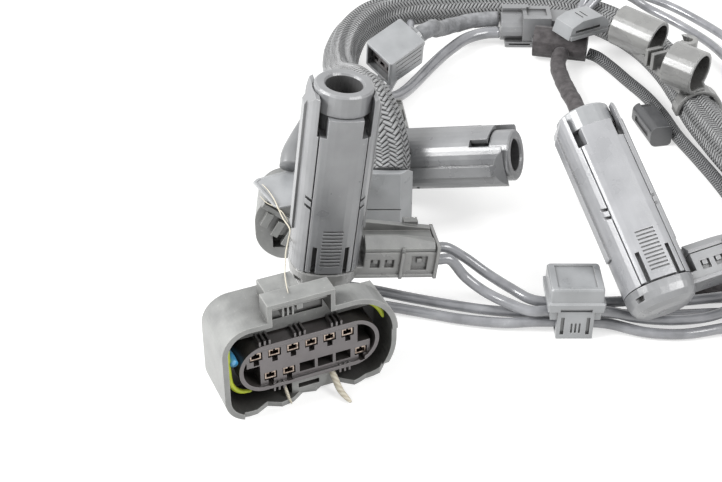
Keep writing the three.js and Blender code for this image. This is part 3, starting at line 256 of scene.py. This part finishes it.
# Tube round a line; shape gives the radius from the length along and the turn round
def tubeAround(line, length, radius, sides, shape=None):
    verts, faces, uvs = [], [], []
    rings = len(line)
    tangents = [(line[min(i + 1, rings - 1)] - line[max(i - 1, 0)]).normalized() for i in range(rings)]
    side = tangents[0].orthogonal().normalized()
    around = 2 * math.pi * radius
    for i, (point, tangent) in enumerate(zip(line, tangents)):
        side = (side - tangent * side.dot(tangent)).normalized()
        other = tangent.cross(side)
        for j in range(sides):
            turn = j / sides
            angle = 2 * math.pi * turn
            size = radius * (shape(length * i / (rings - 1), turn) if shape else 1.0)
            verts.append(point + (side * math.cos(angle) + other * math.sin(angle)) * size)
    for i in range(rings - 1):
        u0, u1 = (length * k / (rings - 1) / around for k in (i, i + 1))
        for j in range(sides):
            n = (j + 1) % sides
            faces.append((i * sides + j, i * sides + n, (i + 1) * sides + n, (i + 1) * sides + j))
            uvs += [(u0, j / sides), (u0, (j + 1) / sides), (u1, (j + 1) / sides), (u1, j / sides)]
    faces.append(tuple(range(sides))[::-1])
    uvs += [(0.0, j / sides) for j in range(sides)][::-1]
    faces.append(tuple((rings - 1) * sides + j for j in range(sides)))
    uvs += [(length / around, j / sides) for j in range(sides)]
    return verts, faces, uvs


# Wide sleeve: woven strands over the wires that push it out
weave = {"strands": 18, "slope": 1.5,   # strands each way round, and how steeply they run
         "relief": 0.03,                # height of a strand, as a share of the radius
         "wires": 6, "lumps": 0.16,     # wires inside, and how far they push the sleeve out
         "twist": 0.24,                 # metres in which the wires turn once
         "slack": 0.02, "slackPerM": 60,  # slow swelling of the whole sleeve
         "gather": 0.006}               # metres over which the sleeve opens out from its end


# Height of a strand from one edge of it to the other
def strandHeight(across):
    return math.sin(math.pi * (across % 1.0)) ** 0.7


def sleeveShape(diameter, strands, lumps):
    around = math.pi * diameter

    def shape(along, turn):
        first = strands * (turn + weave["slope"] * along / around)
        second = strands * (turn - weave["slope"] * along / around)
        over = (math.floor(first) + math.floor(second)) % 4 < 2
        top = strandHeight(first if over else second)
        bulge = 0.5 + 0.5 * math.cos(2 * math.pi * (weave["wires"] * turn + along / weave["twist"]))
        angle = 2 * math.pi * turn
        slack = noise.noise(Vector((along * weave["slackPerM"], math.cos(angle) * 1.2,
                                    math.sin(angle) * 1.2)))
        opened = min(1.0, along / weave["gather"])
        return (1.0 + weave["relief"] * (top - 0.6) + opened * lumps * (bulge ** 0.6 - 0.75)
                + weave["slack"] * slack)
    return shape


# Wound tape: each turn lies on the last one, with small creases
winding = {"pitch": 0.0085, "step": 0.07, "crease": 0.06, "creasesPerM": 260}


def tapeShape(along, turn):
    wound = (along / winding["pitch"] + turn) % 1.0
    angle = 2 * math.pi * turn
    crease = noise.noise(Vector((along * winding["creasesPerM"], math.cos(angle), math.sin(angle))))
    return 1.0 - winding["step"] * wound + winding["crease"] * crease


thinStrands = 8
sleeveLook = {
    "braid_main": {"sides": 108, "step": 0.0005, "slot": "braid",
                   "shape": sleeveShape(0.0126, weave["strands"], weave["lumps"])},
    "braid_thin": {"sides": 56, "step": 0.0004, "slot": "braid",
                   "shape": sleeveShape(0.0042, thinStrands, 0.0)},
    "branch_taped": {"sides": 28, "step": 0.0009, "slot": "tape", "shape": tapeShape},
    "square_lead": {"sides": 28, "step": 0.0009, "slot": "tape", "shape": tapeShape},
    "side_tube": {"sides": 32, "step": 0.001, "slot": "wire", "shape": None},
}
plainLook = {"sides": 20, "step": 0.001, "slot": "wire", "shape": None}

cordPieces = {}
for name, cord in cords.items():
    look = sleeveLook.get(name, plainLook)
    diameter = cord["diameter"] / 1000
    line, length = lineThrough(cord["points"], look["step"])
    verts, faces, uvs = tubeAround(line, length, diameter / 2, look["sides"], look["shape"])
    piece = addPiece("harness_" + name, verts, faces, None, uvs)
    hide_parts(name)
    cordPieces[name] = piece
print("cords laid:", len(cordPieces))


# Floor, white room and soft lamps
studio = {"floor": "#c4c4c3", "room": 0.5, "lift": 0.62,
          "key": {"place": (-0.72, -0.2, 0.56), "size": 0.4, "power": 9.0},
          "fill": {"place": (0.5, -0.36, 0.6), "size": 0.36, "power": 3.4}}

floorMesh = bpy.data.meshes.new("floor")
floorMesh.from_pydata([(-4, -4, 0), (4, -4, 0), (4, 4, 0), (-4, 4, 0)], [], [(0, 1, 2, 3)])
floor = bpy.data.objects.new("floor", floorMesh)
bpy.context.scene.collection.objects.link(floor)
paper, tree = newMaterial("paperBackdrop")
lift = addNode(tree, "ShaderNodeMath", {0: seenByCamera(tree), 1: studio["lift"]}, operation="MULTIPLY")
matt = addNode(tree, "ShaderNodeBsdfDiffuse", {"Color": linear(studio["floor"])})
glow = addNode(tree, "ShaderNodeEmission", {"Strength": lift.outputs[0]})
both = addNode(tree, "ShaderNodeAddShader", {0: matt.outputs[0], 1: glow.outputs[0]})
addNode(tree, "ShaderNodeOutputMaterial", {"Surface": both.outputs[0]})
floorMesh.materials.append(paper)

world = bpy.data.worlds.new("whiteRoom")
bpy.context.scene.world = world
world.use_nodes = True
tree = world.node_tree
tree.nodes.clear()
strength = addNode(tree, "ShaderNodeMapRange", {"Value": seenByCamera(tree), "To Min": studio["room"],
                                                "To Max": 1.0})
room = addNode(tree, "ShaderNodeBackground", {"Color": (1, 1, 1, 1), "Strength": strength.outputs[0]})
addNode(tree, "ShaderNodeOutputWorld", {"Surface": room.outputs[0]})

for lampName in ("key", "fill"):
    lamp = studio[lampName]
    data = bpy.data.lights.new(lampName, "AREA")
    data.shape = "SQUARE"
    data.size = lamp["size"]
    data.energy = lamp["power"]
    light = bpy.data.objects.new(lampName, data)
    light.location = lamp["place"]
    light.rotation_euler = (Vector(lamp["place"]) * -1).to_track_quat("-Z", "Y").to_euler()
    bpy.context.scene.collection.objects.link(light)
bpy.context.scene.view_settings.view_transform = "Standard"
print("floor and lamps set")


# near-black brown painted into hollows as painted shade
paintedShadeColour = "#22201d"
dustMm = 1.3


# Glass-filled nylon, injection moulded: satin skin with a fine spark-eroded grain, faint flow clouds,
# and corners rubbed paler, with painted shade darkening its hollows
def mouldedNylon(name, look):
    material, tree = newMaterial(name)
    place = addNode(tree, "ShaderNodeTexCoord").outputs["Object"]
    grain = addNode(tree, "ShaderNodeTexNoise", {"Vector": place, "Scale": 1000 / look["grainMm"],
                                                 "Detail": 3.0})
    cloud = addNode(tree, "ShaderNodeTexNoise", {"Vector": place, "Scale": 1000 / look["cloudMm"],
                                                 "Detail": 4.0})
    dust = addNode(tree, "ShaderNodeTexNoise", {"Vector": place, "Scale": 1000 / dustMm, "Detail": 5.0,
                                                "Roughness": 0.7})
    rounded = addNode(tree, "ShaderNodeBevel", {"Radius": look["cornerMm"] / 1000}, samples=4)
    flat = addNode(tree, "ShaderNodeNewGeometry")
    same = addNode(tree, "ShaderNodeVectorMath", {0: rounded.outputs[0], 1: flat.outputs["Normal"]},
                   operation="DOT_PRODUCT")
    corner = addNode(tree, "ShaderNodeMapRange", {"Value": same.outputs["Value"], "From Min": 0.995,
                                                  "From Max": 0.86, "To Min": 0.0, "To Max": look["rub"]})
    patches = addNode(tree, "ShaderNodeMapRange", {"Value": cloud.outputs["Fac"], "From Min": 0.3,
                                                   "From Max": 0.7})
    skin = addNode(tree, "ShaderNodeMix", {"Factor": patches.outputs[0], 6: linear(look["colour"]),
                                           7: linear(look["pale"])}, data_type="RGBA")
    specks = addNode(tree, "ShaderNodeMapRange", {"Value": dust.outputs["Fac"], "From Min": 0.66,
                                                  "From Max": 0.74, "To Min": 0.0, "To Max": look["dust"]})
    marks = addNode(tree, "ShaderNodeMath", {0: corner.outputs[0], 1: specks.outputs[0]},
                    operation="MAXIMUM")
    colour = addNode(tree, "ShaderNodeMix", {"Factor": marks.outputs[0], 6: skin.outputs[2],
                                             7: linear(look["rubbed"])}, data_type="RGBA")
    # painted shade: darker in bores, cups and slots, the more closed in each point is
    hollow = addNode(tree, "ShaderNodeAmbientOcclusion", {"Distance": look["hollowMm"] / 1000}, samples=6,
                     only_local=look["ownHollows"])
    dirtAndPaintedShade = addNode(tree, "ShaderNodeMapRange", {"Value": hollow.outputs["AO"], "From Min": 0.9,
                                                "From Max": 0.4, "To Min": 0.0, "To Max": look["paintedShade"]})
    colour = addNode(tree, "ShaderNodeMix", {"Factor": dirtAndPaintedShade.outputs[0], 6: colour.outputs[2],
                                             7: linear(paintedShadeColour)}, data_type="RGBA")
    rough = addNode(tree, "ShaderNodeMapRange", {"Value": cloud.outputs["Fac"], "From Min": 0.3,
                                                 "From Max": 0.7, "To Min": look["roughness"] - 0.06,
                                                 "To Max": look["roughness"] + 0.08})
    bump = addNode(tree, "ShaderNodeBump", {"Height": grain.outputs["Fac"],
                                            "Strength": look["grainStrength"],
                                            "Distance": 0.00012, "Normal": rounded.outputs[0]})
    shader = addNode(tree, "ShaderNodeBsdfPrincipled", {"Base Color": colour.outputs[2],
                                                        "Roughness": rough.outputs[0], "IOR": 1.53,
                                                        "Specular IOR Level": look["gloss"],
                                                        "Coat Weight": 0.3, "Coat Roughness": 0.32,
                                                        "Normal": bump.outputs[0]})
    addNode(tree, "ShaderNodeOutputMaterial", {"Surface": shader.outputs[0]})
    return material


# colours of the skin, of its clouds and of rubbed corners; painted shade darkens hollows up to hollowMm
# across, in the piece's own ones or also in those between pieces
nylonLooks = {
    # plug bodies: satin, dark with bright lights on it
    "plugNylonMoulded": {
        "colour": "#77787a", "pale": "#8b8c8e", "rubbed": "#cfd0d1", "roughness": 0.31, "gloss": 1.0,
        "grainMm": 0.35, "grainStrength": 0.3, "cloudMm": 9, "cornerMm": 0.35, "rub": 0.5, "dust": 0.4,
        "hollowMm": 20, "paintedShade": 0.75, "ownHollows": True},
    # plug leaning on the right: the plug nylon painted paler, painted light for the stronger light on it
    "paintedLitPlugNylonMoulded": {
        "colour": "#97989b", "pale": "#a7a8ab", "rubbed": "#e2e3e4", "roughness": 0.3, "gloss": 1.0,
        "grainMm": 0.35, "grainStrength": 0.3, "cloudMm": 9, "cornerMm": 0.35, "rub": 0.5, "dust": 0.35,
        "hollowMm": 20, "paintedShade": 0.7, "ownHollows": True},
    # base cap and cable arm: painted a little paler than the plug bodies, painted light on the
    # downward-facing cap
    "capNylonMoulded": {
        "colour": "#7e7e7d", "pale": "#929290", "rubbed": "#c4c4c1", "roughness": 0.28, "gloss": 1.0,
        "grainMm": 0.35, "grainStrength": 0.3, "cloudMm": 8, "cornerMm": 0.9, "rub": 0.3, "dust": 0.3,
        "hollowMm": 16, "paintedShade": 0.7, "ownHollows": True},
    # rear connector: coarser grain, chalky
    "rearNylonMoulded": {
        "colour": "#6d6e6d", "pale": "#8a8b89", "rubbed": "#cdcdc8", "roughness": 0.42, "gloss": 0.8,
        "grainMm": 0.5, "grainStrength": 0.5, "cloudMm": 6, "cornerMm": 0.4, "rub": 0.55, "dust": 0.6,
        "hollowMm": 12, "paintedShade": 0.6, "ownHollows": True},
    # oval shroud: the same chalky skin, with strong painted shade darkening its mouth
    "shroudNylonMoulded": {
        "colour": "#777877", "pale": "#959694", "rubbed": "#d6d6d1", "roughness": 0.42, "gloss": 0.8,
        "grainMm": 0.5, "grainStrength": 0.5, "cloudMm": 6, "cornerMm": 0.4, "rub": 0.6, "dust": 0.7,
        "hollowMm": 45, "paintedShade": 0.95, "ownHollows": True},
    # clips and small connector: paler grey
    "clipNylonMoulded": {
        "colour": "#8f9193", "pale": "#a3a5a7", "rubbed": "#e0e1e1", "roughness": 0.32, "gloss": 0.9,
        "grainMm": 0.35, "grainStrength": 0.3, "cloudMm": 8, "cornerMm": 0.35, "rub": 0.5, "dust": 0.3,
        "hollowMm": 16, "paintedShade": 0.7, "ownHollows": True},
    # small tab clip: near black
    "tabNylonMoulded": {
        "colour": "#3a3b3d", "pale": "#4a4b4d", "rubbed": "#8f9091", "roughness": 0.36, "gloss": 0.8,
        "grainMm": 0.35, "grainStrength": 0.3, "cloudMm": 6, "cornerMm": 0.35, "rub": 0.5, "dust": 0.3,
        "hollowMm": 6, "paintedShade": 0.7, "ownHollows": True},
    # insert of the oval connector: brownish, matt
    "insertNylonMoulded": {
        "colour": "#4c4647", "pale": "#635d5e", "rubbed": "#a8a1a1", "roughness": 0.38, "gloss": 0.9,
        "grainMm": 0.3, "grainStrength": 0.3, "cloudMm": 5, "cornerMm": 0.2, "rub": 0.7, "dust": 0.35,
        "hollowMm": 9, "paintedShade": 0.85, "ownHollows": False},
}
materials = {name: mouldedNylon(name, look) for name, look in nylonLooks.items()}


# Soft PVC, extruded on the wire: smooth and glossy, with faint draw lines along it
def extrudedPvc(name, look):
    material, tree = newMaterial(name)
    layout = addNode(tree, "ShaderNodeTexCoord").outputs["UV"]
    stretched = addNode(tree, "ShaderNodeMapping", {"Vector": layout, "Scale": (0.6, 14.0, 1.0)})
    draw = addNode(tree, "ShaderNodeTexNoise", {"Vector": stretched.outputs[0], "Scale": 3.0,
                                                "Detail": 3.0})
    dirtAndPaintedShade = addNode(tree, "ShaderNodeTexNoise", {"Vector": layout, "Scale": 1.4, "Detail": 5.0})
    share = addNode(tree, "ShaderNodeMapRange", {"Value": dirtAndPaintedShade.outputs["Fac"], "From Min": 0.35,
                                                 "From Max": 0.7})
    colour = addNode(tree, "ShaderNodeMix", {"Factor": share.outputs[0], 6: linear(look["colour"]),
                                             7: linear(look["pale"])}, data_type="RGBA")
    rough = addNode(tree, "ShaderNodeMapRange", {"Value": dirtAndPaintedShade.outputs["Fac"],
                                                 "To Min": look["roughness"] - 0.06,
                                                 "To Max": look["roughness"] + 0.14})
    bump = addNode(tree, "ShaderNodeBump", {"Height": draw.outputs["Fac"], "Strength": 0.25,
                                            "Distance": 0.00008})
    shader = addNode(tree, "ShaderNodeBsdfPrincipled", {"Base Color": colour.outputs[2],
                                                        "Roughness": rough.outputs[0], "IOR": 1.54,
                                                        "Coat Weight": look["coat"],
                                                        "Coat Roughness": 0.12,
                                                        "Normal": bump.outputs[0]})
    addNode(tree, "ShaderNodeOutputMaterial", {"Surface": shader.outputs[0]})
    return material


pvcLooks = {
    "wirePvcExtruded": {"colour": "#7d7e82", "pale": "#9fa0a4", "roughness": 0.2, "coat": 1.0},
    "tubePvcExtruded": {"colour": "#727375", "pale": "#88898a", "roughness": 0.4, "coat": 0.2},
    "blueWirePvcExtruded": {"colour": "#3f9fd8", "pale": "#8fcdec", "roughness": 0.3, "coat": 0.4},
}
materials.update({name: extrudedPvc(name, look) for name, look in pvcLooks.items()})


# Polyester monofilament, braided into a sleeve: strands pass two over and two under, each strand
# a few hard shiny filaments side by side, with painted shade darkening the low parts between strands and
# filaments
def braidedPolyester(name, look):
    material, tree = newMaterial(name)
    layout = addNode(tree, "ShaderNodeTexCoord").outputs["UV"]
    split = addNode(tree, "ShaderNodeSeparateXYZ", {0: layout})
    lean = addNode(tree, "ShaderNodeMath", {0: split.outputs[0], 1: weave["slope"]}, operation="MULTIPLY")
    heights, counts, filaments = [], [], []
    for turning in ("ADD", "SUBTRACT"):
        where = addNode(tree, "ShaderNodeMath", {0: split.outputs[1], 1: lean.outputs[0]},
                        operation=turning)
        strand = addNode(tree, "ShaderNodeMath", {0: where.outputs[0], 1: look["strands"]},
                         operation="MULTIPLY")
        across = addNode(tree, "ShaderNodeMath", {0: strand.outputs[0]}, operation="FRACT")
        counts.append(addNode(tree, "ShaderNodeMath", {0: strand.outputs[0]}, operation="FLOOR"))
        arch = addNode(tree, "ShaderNodeMath", {0: across.outputs[0], 1: math.pi}, operation="MULTIPLY")
        heights.append(addNode(tree, "ShaderNodeMath", {0: arch.outputs[0]}, operation="SINE"))
        thread = addNode(tree, "ShaderNodeMath", {0: across.outputs[0], 1: math.pi * look["filaments"]},
                         operation="MULTIPLY")
        wave = addNode(tree, "ShaderNodeMath", {0: thread.outputs[0]}, operation="SINE")
        filaments.append(addNode(tree, "ShaderNodeMath", {0: wave.outputs[0]}, operation="ABSOLUTE"))
    total = addNode(tree, "ShaderNodeMath", {0: counts[0].outputs[0], 1: counts[1].outputs[0]},
                    operation="ADD")
    turnOf = addNode(tree, "ShaderNodeMath", {0: total.outputs[0], 1: 4.0}, operation="FLOORED_MODULO")
    over = addNode(tree, "ShaderNodeMath", {0: turnOf.outputs[0], 1: 1.5}, operation="LESS_THAN")
    height = addNode(tree, "ShaderNodeMix", {"Factor": over.outputs[0], 2: heights[1].outputs[0],
                                             3: heights[0].outputs[0]})
    thread = addNode(tree, "ShaderNodeMix", {"Factor": over.outputs[0], 2: filaments[1].outputs[0],
                                             3: filaments[0].outputs[0]})
    relief = addNode(tree, "ShaderNodeMath", {0: thread.outputs[0], 1: 0.35, 2: height.outputs[0]},
                     operation="MULTIPLY_ADD")
    # painted shade: colour runs from the gap colour where the relief is low to the strand colour on its
    # tops
    shadeOf = addNode(tree, "ShaderNodeMapRange", {"Value": relief.outputs[0], "From Min": 0.5,
                                                   "From Max": 1.2})
    colour = addNode(tree, "ShaderNodeMix", {"Factor": shadeOf.outputs[0], 6: linear(look["gap"]),
                                             7: linear(look["strand"])}, data_type="RGBA")
    bump = addNode(tree, "ShaderNodeBump", {"Height": relief.outputs[0], "Strength": 1.0,
                                            "Distance": 0.00045})
    shader = addNode(tree, "ShaderNodeBsdfPrincipled", {"Base Color": colour.outputs[2],
                                                        "Roughness": 0.24, "IOR": 1.57,
                                                        "Normal": bump.outputs[0]})
    addNode(tree, "ShaderNodeOutputMaterial", {"Surface": shader.outputs[0]})
    return material


# real strands are about 1 mm wide on the wide sleeve and 0.5 mm on the thin one, with four filaments
# each; they are drawn wider so that they show
braidLooks = {
    "widePolyesterBraided": {"strands": weave["strands"], "filaments": 3, "gap": "#1d1d1c",
                             "strand": "#adaeaf"},
    "thinPolyesterBraided": {"strands": thinStrands, "filaments": 2, "gap": "#2c2c2b",
                             "strand": "#8d8e90"},
}
materials.update({name: braidedPolyester(name, look) for name, look in braidLooks.items()})


# Cotton cloth tape, wound: a soft matt ribbed cloth with a raised edge at each turn
def woundTape(name, look):
    material, tree = newMaterial(name)
    coordinates = addNode(tree, "ShaderNodeTexCoord")
    place = coordinates.outputs["Object"]
    crease = addNode(tree, "ShaderNodeTexNoise", {"Vector": place, "Scale": 1000 / 2.4, "Detail": 4.0})
    threads = addNode(tree, "ShaderNodeTexNoise", {"Vector": place, "Scale": 1000 / 0.4, "Detail": 2.0})
    share = addNode(tree, "ShaderNodeMapRange", {"Value": crease.outputs["Fac"], "From Min": 0.35,
                                                 "From Max": 0.65})
    colour = addNode(tree, "ShaderNodeMix", {"Factor": share.outputs[0], 6: linear(look["colour"]),
                                             7: linear(look["pale"])}, data_type="RGBA")
    rise = addNode(tree, "ShaderNodeMath", {0: threads.outputs["Fac"], 1: 0.2, 2: crease.outputs["Fac"]},
                   operation="MULTIPLY_ADD")
    bump = addNode(tree, "ShaderNodeBump", {"Height": rise.outputs[0], "Strength": 0.7,
                                            "Distance": 0.0005})
    shader = addNode(tree, "ShaderNodeBsdfPrincipled", {"Base Color": colour.outputs[2],
                                                        "Roughness": 0.62,
                                                        "Sheen Weight": 0.15, "Normal": bump.outputs[0]})
    addNode(tree, "ShaderNodeOutputMaterial", {"Surface": shader.outputs[0]})
    return material


tapeLooks = {"clothTapeWound": {"colour": "#77787a", "pale": "#97989b"},
             "branchTapeWound": {"colour": "#353132", "pale": "#524e4f"}}
materials.update({name: woundTape(name, look) for name, look in tapeLooks.items()})


# Silicone rubber, moulded: smooth, slightly translucent yellow-green
siliconeLook = {"colour": "#cfdb4a", "deep": "#a9b92a", "roughness": 0.38}
silicone, tree = newMaterial("siliconeRubberMoulded")
place = addNode(tree, "ShaderNodeTexCoord").outputs["Object"]
mottle = addNode(tree, "ShaderNodeTexNoise", {"Vector": place, "Scale": 1000 / 3.0, "Detail": 4.0})
colour = addNode(tree, "ShaderNodeMix", {"Factor": mottle.outputs["Fac"],
                                         6: linear(siliconeLook["colour"]),
                                         7: linear(siliconeLook["deep"])}, data_type="RGBA")
bump = addNode(tree, "ShaderNodeBump", {"Height": mottle.outputs["Fac"], "Strength": 0.3,
                                        "Distance": 0.0002})
shader = addNode(tree, "ShaderNodeBsdfPrincipled", {"Base Color": colour.outputs[2],
                                                    "Roughness": siliconeLook["roughness"], "IOR": 1.43,
                                                    "Subsurface Weight": 0.15, "Subsurface Scale": 0.001,
                                                    "Normal": bump.outputs[0]})
addNode(tree, "ShaderNodeOutputMaterial", {"Surface": shader.outputs[0]})
materials["siliconeRubberMoulded"] = silicone

# Brass strip, stamped and tin plated: warm metal, dulled unevenly
brassLook = {"bright": "#c0b1a4", "dull": "#7a6b62", "roughness": 0.3}
brass, tree = newMaterial("platedBrassStamped")
place = addNode(tree, "ShaderNodeTexCoord").outputs["Object"]
tarnish = addNode(tree, "ShaderNodeTexNoise", {"Vector": place, "Scale": 1000 / 0.8, "Detail": 4.0})
share = addNode(tree, "ShaderNodeMapRange", {"Value": tarnish.outputs["Fac"], "From Min": 0.35,
                                             "From Max": 0.65})
colour = addNode(tree, "ShaderNodeMix", {"Factor": share.outputs[0], 6: linear(brassLook["bright"]),
                                         7: linear(brassLook["dull"])}, data_type="RGBA")
bump = addNode(tree, "ShaderNodeBump", {"Height": tarnish.outputs["Fac"], "Strength": 0.3,
                                        "Distance": 0.0001})
shader = addNode(tree, "ShaderNodeBsdfPrincipled", {"Base Color": colour.outputs[2], "Metallic": 1.0,
                                                    "Roughness": brassLook["roughness"],
                                                    "Normal": bump.outputs[0]})
addNode(tree, "ShaderNodeOutputMaterial", {"Surface": shader.outputs[0]})
materials["platedBrassStamped"] = brass
print("materials made:", len(materials))


# What each part is made of; * stands for any letters, and the first line that fits a name counts
finishes = [
    # the right plug's shell and panel take the paler copy of the plug nylon, painted light
    ("plug_c_shell", "paintedLitPlugNylonMoulded"), ("plug_c_sleeve", "clipNylonMoulded"),
    ("plug_c_panel", "paintedLitPlugNylonMoulded"), ("plug_c_base", "plugNylonMoulded"),
    ("plug_c_arm_lid", "plugNylonMoulded"),
    ("plug_*_shell", "plugNylonMoulded"), ("plug_*_sleeve", "plugNylonMoulded"),
    ("plug_*_panel", "plugNylonMoulded"), ("plug_*_base", "capNylonMoulded"),
    ("plug_*_arm_lid", "rearNylonMoulded"), ("*_contact*", "platedBrassStamped"),
    ("oval_shroud", "shroudNylonMoulded"), ("oval_insert", "insertNylonMoulded"),
    ("oval_seal", "siliconeRubberMoulded"), ("oval_lock_slide", "shroudNylonMoulded"),
    ("rear_housing", "rearNylonMoulded"), ("rear_block", "clipNylonMoulded"),
    ("square_housing", "clipNylonMoulded"), ("square_insert", "insertNylonMoulded"),
    ("stepped_plug", "plugNylonMoulded"), ("clip_block", "clipNylonMoulded"),
    ("cup_clip", "capNylonMoulded"), ("tab_clip", "tabNylonMoulded"), ("clip_box_*", "clipNylonMoulded"),
    ("tape_wrap", "clothTapeWound"), ("branch_wrap", "branchTapeWound"),
    ("braid_main", "widePolyesterBraided"), ("braid_thin", "thinPolyesterBraided"),
    ("branch_taped", "branchTapeWound"), ("square_lead", "clothTapeWound"),
    ("side_tube", "tubePvcExtruded"), ("wire_*", "wirePvcExtruded"),
]


def finishOf(name):
    return materials[next(finish for pattern, finish in finishes if fnmatch(name, pattern))]


# Small pieces in the mouth of the oval connector, in mm across, in and up from its front lower middle
ovalFrame = {"origin": (-55.233, -100.988), "across": (0.9148, 0.4039), "inwards": (-0.4039, 0.9148)}
mouthPieces = {
    "seal_left": {"diameter": 1.7, "taper": True, "slot": "seal_rubber",
                  "finish": "siliconeRubberMoulded", "points": [
        (-18.9, 3.7, 26.4), (-20.9, 3.6, 24.6), (-21.5, 3.5, 20.5), (-21.5, 3.5, 14.5),
        (-20.9, 3.5, 10), (-18.8, 3.6, 7.2), (-15.6, 3.7, 6.1)]},
    "seal_right": {"diameter": 1.6, "taper": True, "slot": "seal_rubber",
                   "finish": "siliconeRubberMoulded", "points": [
        (13.4, 3.6, 26.6), (15.8, 3.5, 25.7), (18.2, 3.4, 24.0), (20.0, 3.4, 21.6),
        (21.1, 3.5, 18.6)]},
    "blue_wire_stub": {"diameter": 2.1, "taper": False, "slot": "wire",
                       "finish": "blueWirePvcExtruded", "points": [
        (-19.7, 11.6, 15.4), (-19.9, 8.4, 16.6), (-20.0, 5.2, 17.4), (-20.0, 2.6, 17.2)]},
}


smallStep = 0.0005


def fromOval(across, inwards, up):
    x = ovalFrame["origin"][0] + ovalFrame["across"][0] * across + ovalFrame["inwards"][0] * inwards
    y = ovalFrame["origin"][1] + ovalFrame["across"][1] * across + ovalFrame["inwards"][1] * inwards
    return (x / 1000, y / 1000, up / 1000)


# Thin at both ends
def taperShape(length):
    return lambda along, turn: 0.35 + 0.65 * math.sin(math.pi * min(1, max(0, along / length))) ** 0.5


for name, piece in mouthPieces.items():
    line, length = lineThrough([fromOval(*point) for point in piece["points"]], smallStep)
    shape = taperShape(length) if piece["taper"] else None
    verts, faces, uvs = tubeAround(line, length, piece["diameter"] / 2000, plainLook["sides"], shape)
    made = addPiece("oval_" + name, verts, faces, materials[piece["finish"]], uvs)
    if name == "seal_left":
        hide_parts("oval_seal")
print("mouth pieces made")


# Flat cover on the rear connector, its corner standing out to the front, in mm; each ring is how far it
# is set in from the corners, and its height
coverPlate = {"corners": [(-74.6, -31.0), (-73.6, -29.2), (-52.0, -18.4), (-50.5, -20.0), (-50.5, -38.4),
                          (-66.0, -44.4), (-67.8, -43.6)],
              "rings": [(0.4, 22.05), (0.0, 22.3), (0.0, 22.65), (0.25, 22.85), (1.1, 22.85),
                        (1.3, 22.65)]}


def addCoverPlate():
    corners = coverPlate["corners"]
    middle = Vector([sum(axis) / len(corners) for axis in zip(*corners)])
    verts = []
    for inset, height in coverPlate["rings"]:
        for corner in corners:
            towards = (middle - Vector(corner)).normalized() * inset
            verts.append(((corner[0] + towards.x) / 1000, (corner[1] + towards.y) / 1000, height / 1000))
    count = len(corners)
    last = (len(coverPlate["rings"]) - 1) * count
    faces = [(row + i, row + (i + 1) % count, row + count + (i + 1) % count, row + count + i)
             for row in range(0, last, count) for i in range(count)]
    faces += [tuple(range(count))[::-1], tuple(last + i for i in range(count))]
    addPiece("rear_cover_plate", verts, faces, materials["clipNylonMoulded"], smooth=False)


addCoverPlate()
print("cover plate made")


# Frayed threads, and splinters with fibre on them, each thin and tapering, in mm
fibreLook = {"colour": "#e6e0cf", "deep": "#cbc2ae"}
fibre, tree = newMaterial("cottonThreadSpun")  # cotton, spun: matt, cream, a fine twist along it
layout = addNode(tree, "ShaderNodeTexCoord").outputs["UV"]
twist = addNode(tree, "ShaderNodeTexWave", {"Vector": layout, "Scale": 2.0, "Distortion": 2.0},
                bands_direction="DIAGONAL")
colour = addNode(tree, "ShaderNodeMix", {"Factor": twist.outputs["Fac"], 6: linear(fibreLook["deep"]),
                                         7: linear(fibreLook["colour"])}, data_type="RGBA")
bump = addNode(tree, "ShaderNodeBump", {"Height": twist.outputs["Fac"], "Strength": 0.4,
                                        "Distance": 0.0001})
shader = addNode(tree, "ShaderNodeBsdfPrincipled", {"Base Color": colour.outputs[2], "Roughness": 0.85,
                                                    "Sheen Weight": 0.3, "Normal": bump.outputs[0]})
addNode(tree, "ShaderNodeOutputMaterial", {"Surface": shader.outputs[0]})
materials["cottonThreadSpun"] = fibre

threads = {
    "thread_long": {"diameter": 0.45, "points": [
        (-71.8, -33.0, 23.3), (-69.9, -36.4, 23.4), (-67.9, -41.1, 23.4), (-66.5, -45.4, 23.2),
        (-64.9, -50.8, 23.4), (-62.6, -58.0, 24.6), (-62.6, -65.8, 26.4), (-62.8, -74.8, 28.8),
        (-62.5, -83.7, 31.4), (-62.1, -92.1, 34.1), (-61.6, -96.2, 34.3), (-60.9, -100.7, 34.9)]},
    "thread_short": {"diameter": 0.35, "points": [
        (-72.2, -37.1, 21.8), (-70.1, -39.5, 21.0), (-67.4, -41.3, 20.8), (-65.2, -45.3, 21.4),
        (-63.5, -51.3, 22.4)]},
    "splinter_left": {"diameter": 0.9, "points": [
        (-63.6, -98.2, 5.2), (-62.6, -99.8, 3.4), (-61.6, -101.6, 1.4), (-60.9, -102.6, 0.5)]},
    "splinter_right": {"diameter": 1.8, "points": [
        (-51.6, -93.4, 6.8), (-50.0, -96.2, 4.2), (-48.4, -99.0, 2.0), (-46.8, -101.0, 1.2),
        (-45.6, -102.4, 0.9)]},
}
threadStep = 0.0004
threadSides = 10
for name, thread in threads.items():
    points = [tuple(c / 1000 for c in point) for point in thread["points"]]
    line, length = lineThrough(points, threadStep)
    verts, faces, uvs = tubeAround(line, length, thread["diameter"] / 2000, threadSides,
                                   taperShape(length))
    addPiece("loose_" + name, verts, faces, fibre, uvs)
print("threads and splinters made")


for name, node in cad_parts.items():
    node.data.materials.clear()
    node.data.materials.append(finishOf(name))
for name, piece in cordPieces.items():
    piece.data.materials.append(finishOf(name))
print("finishes given")
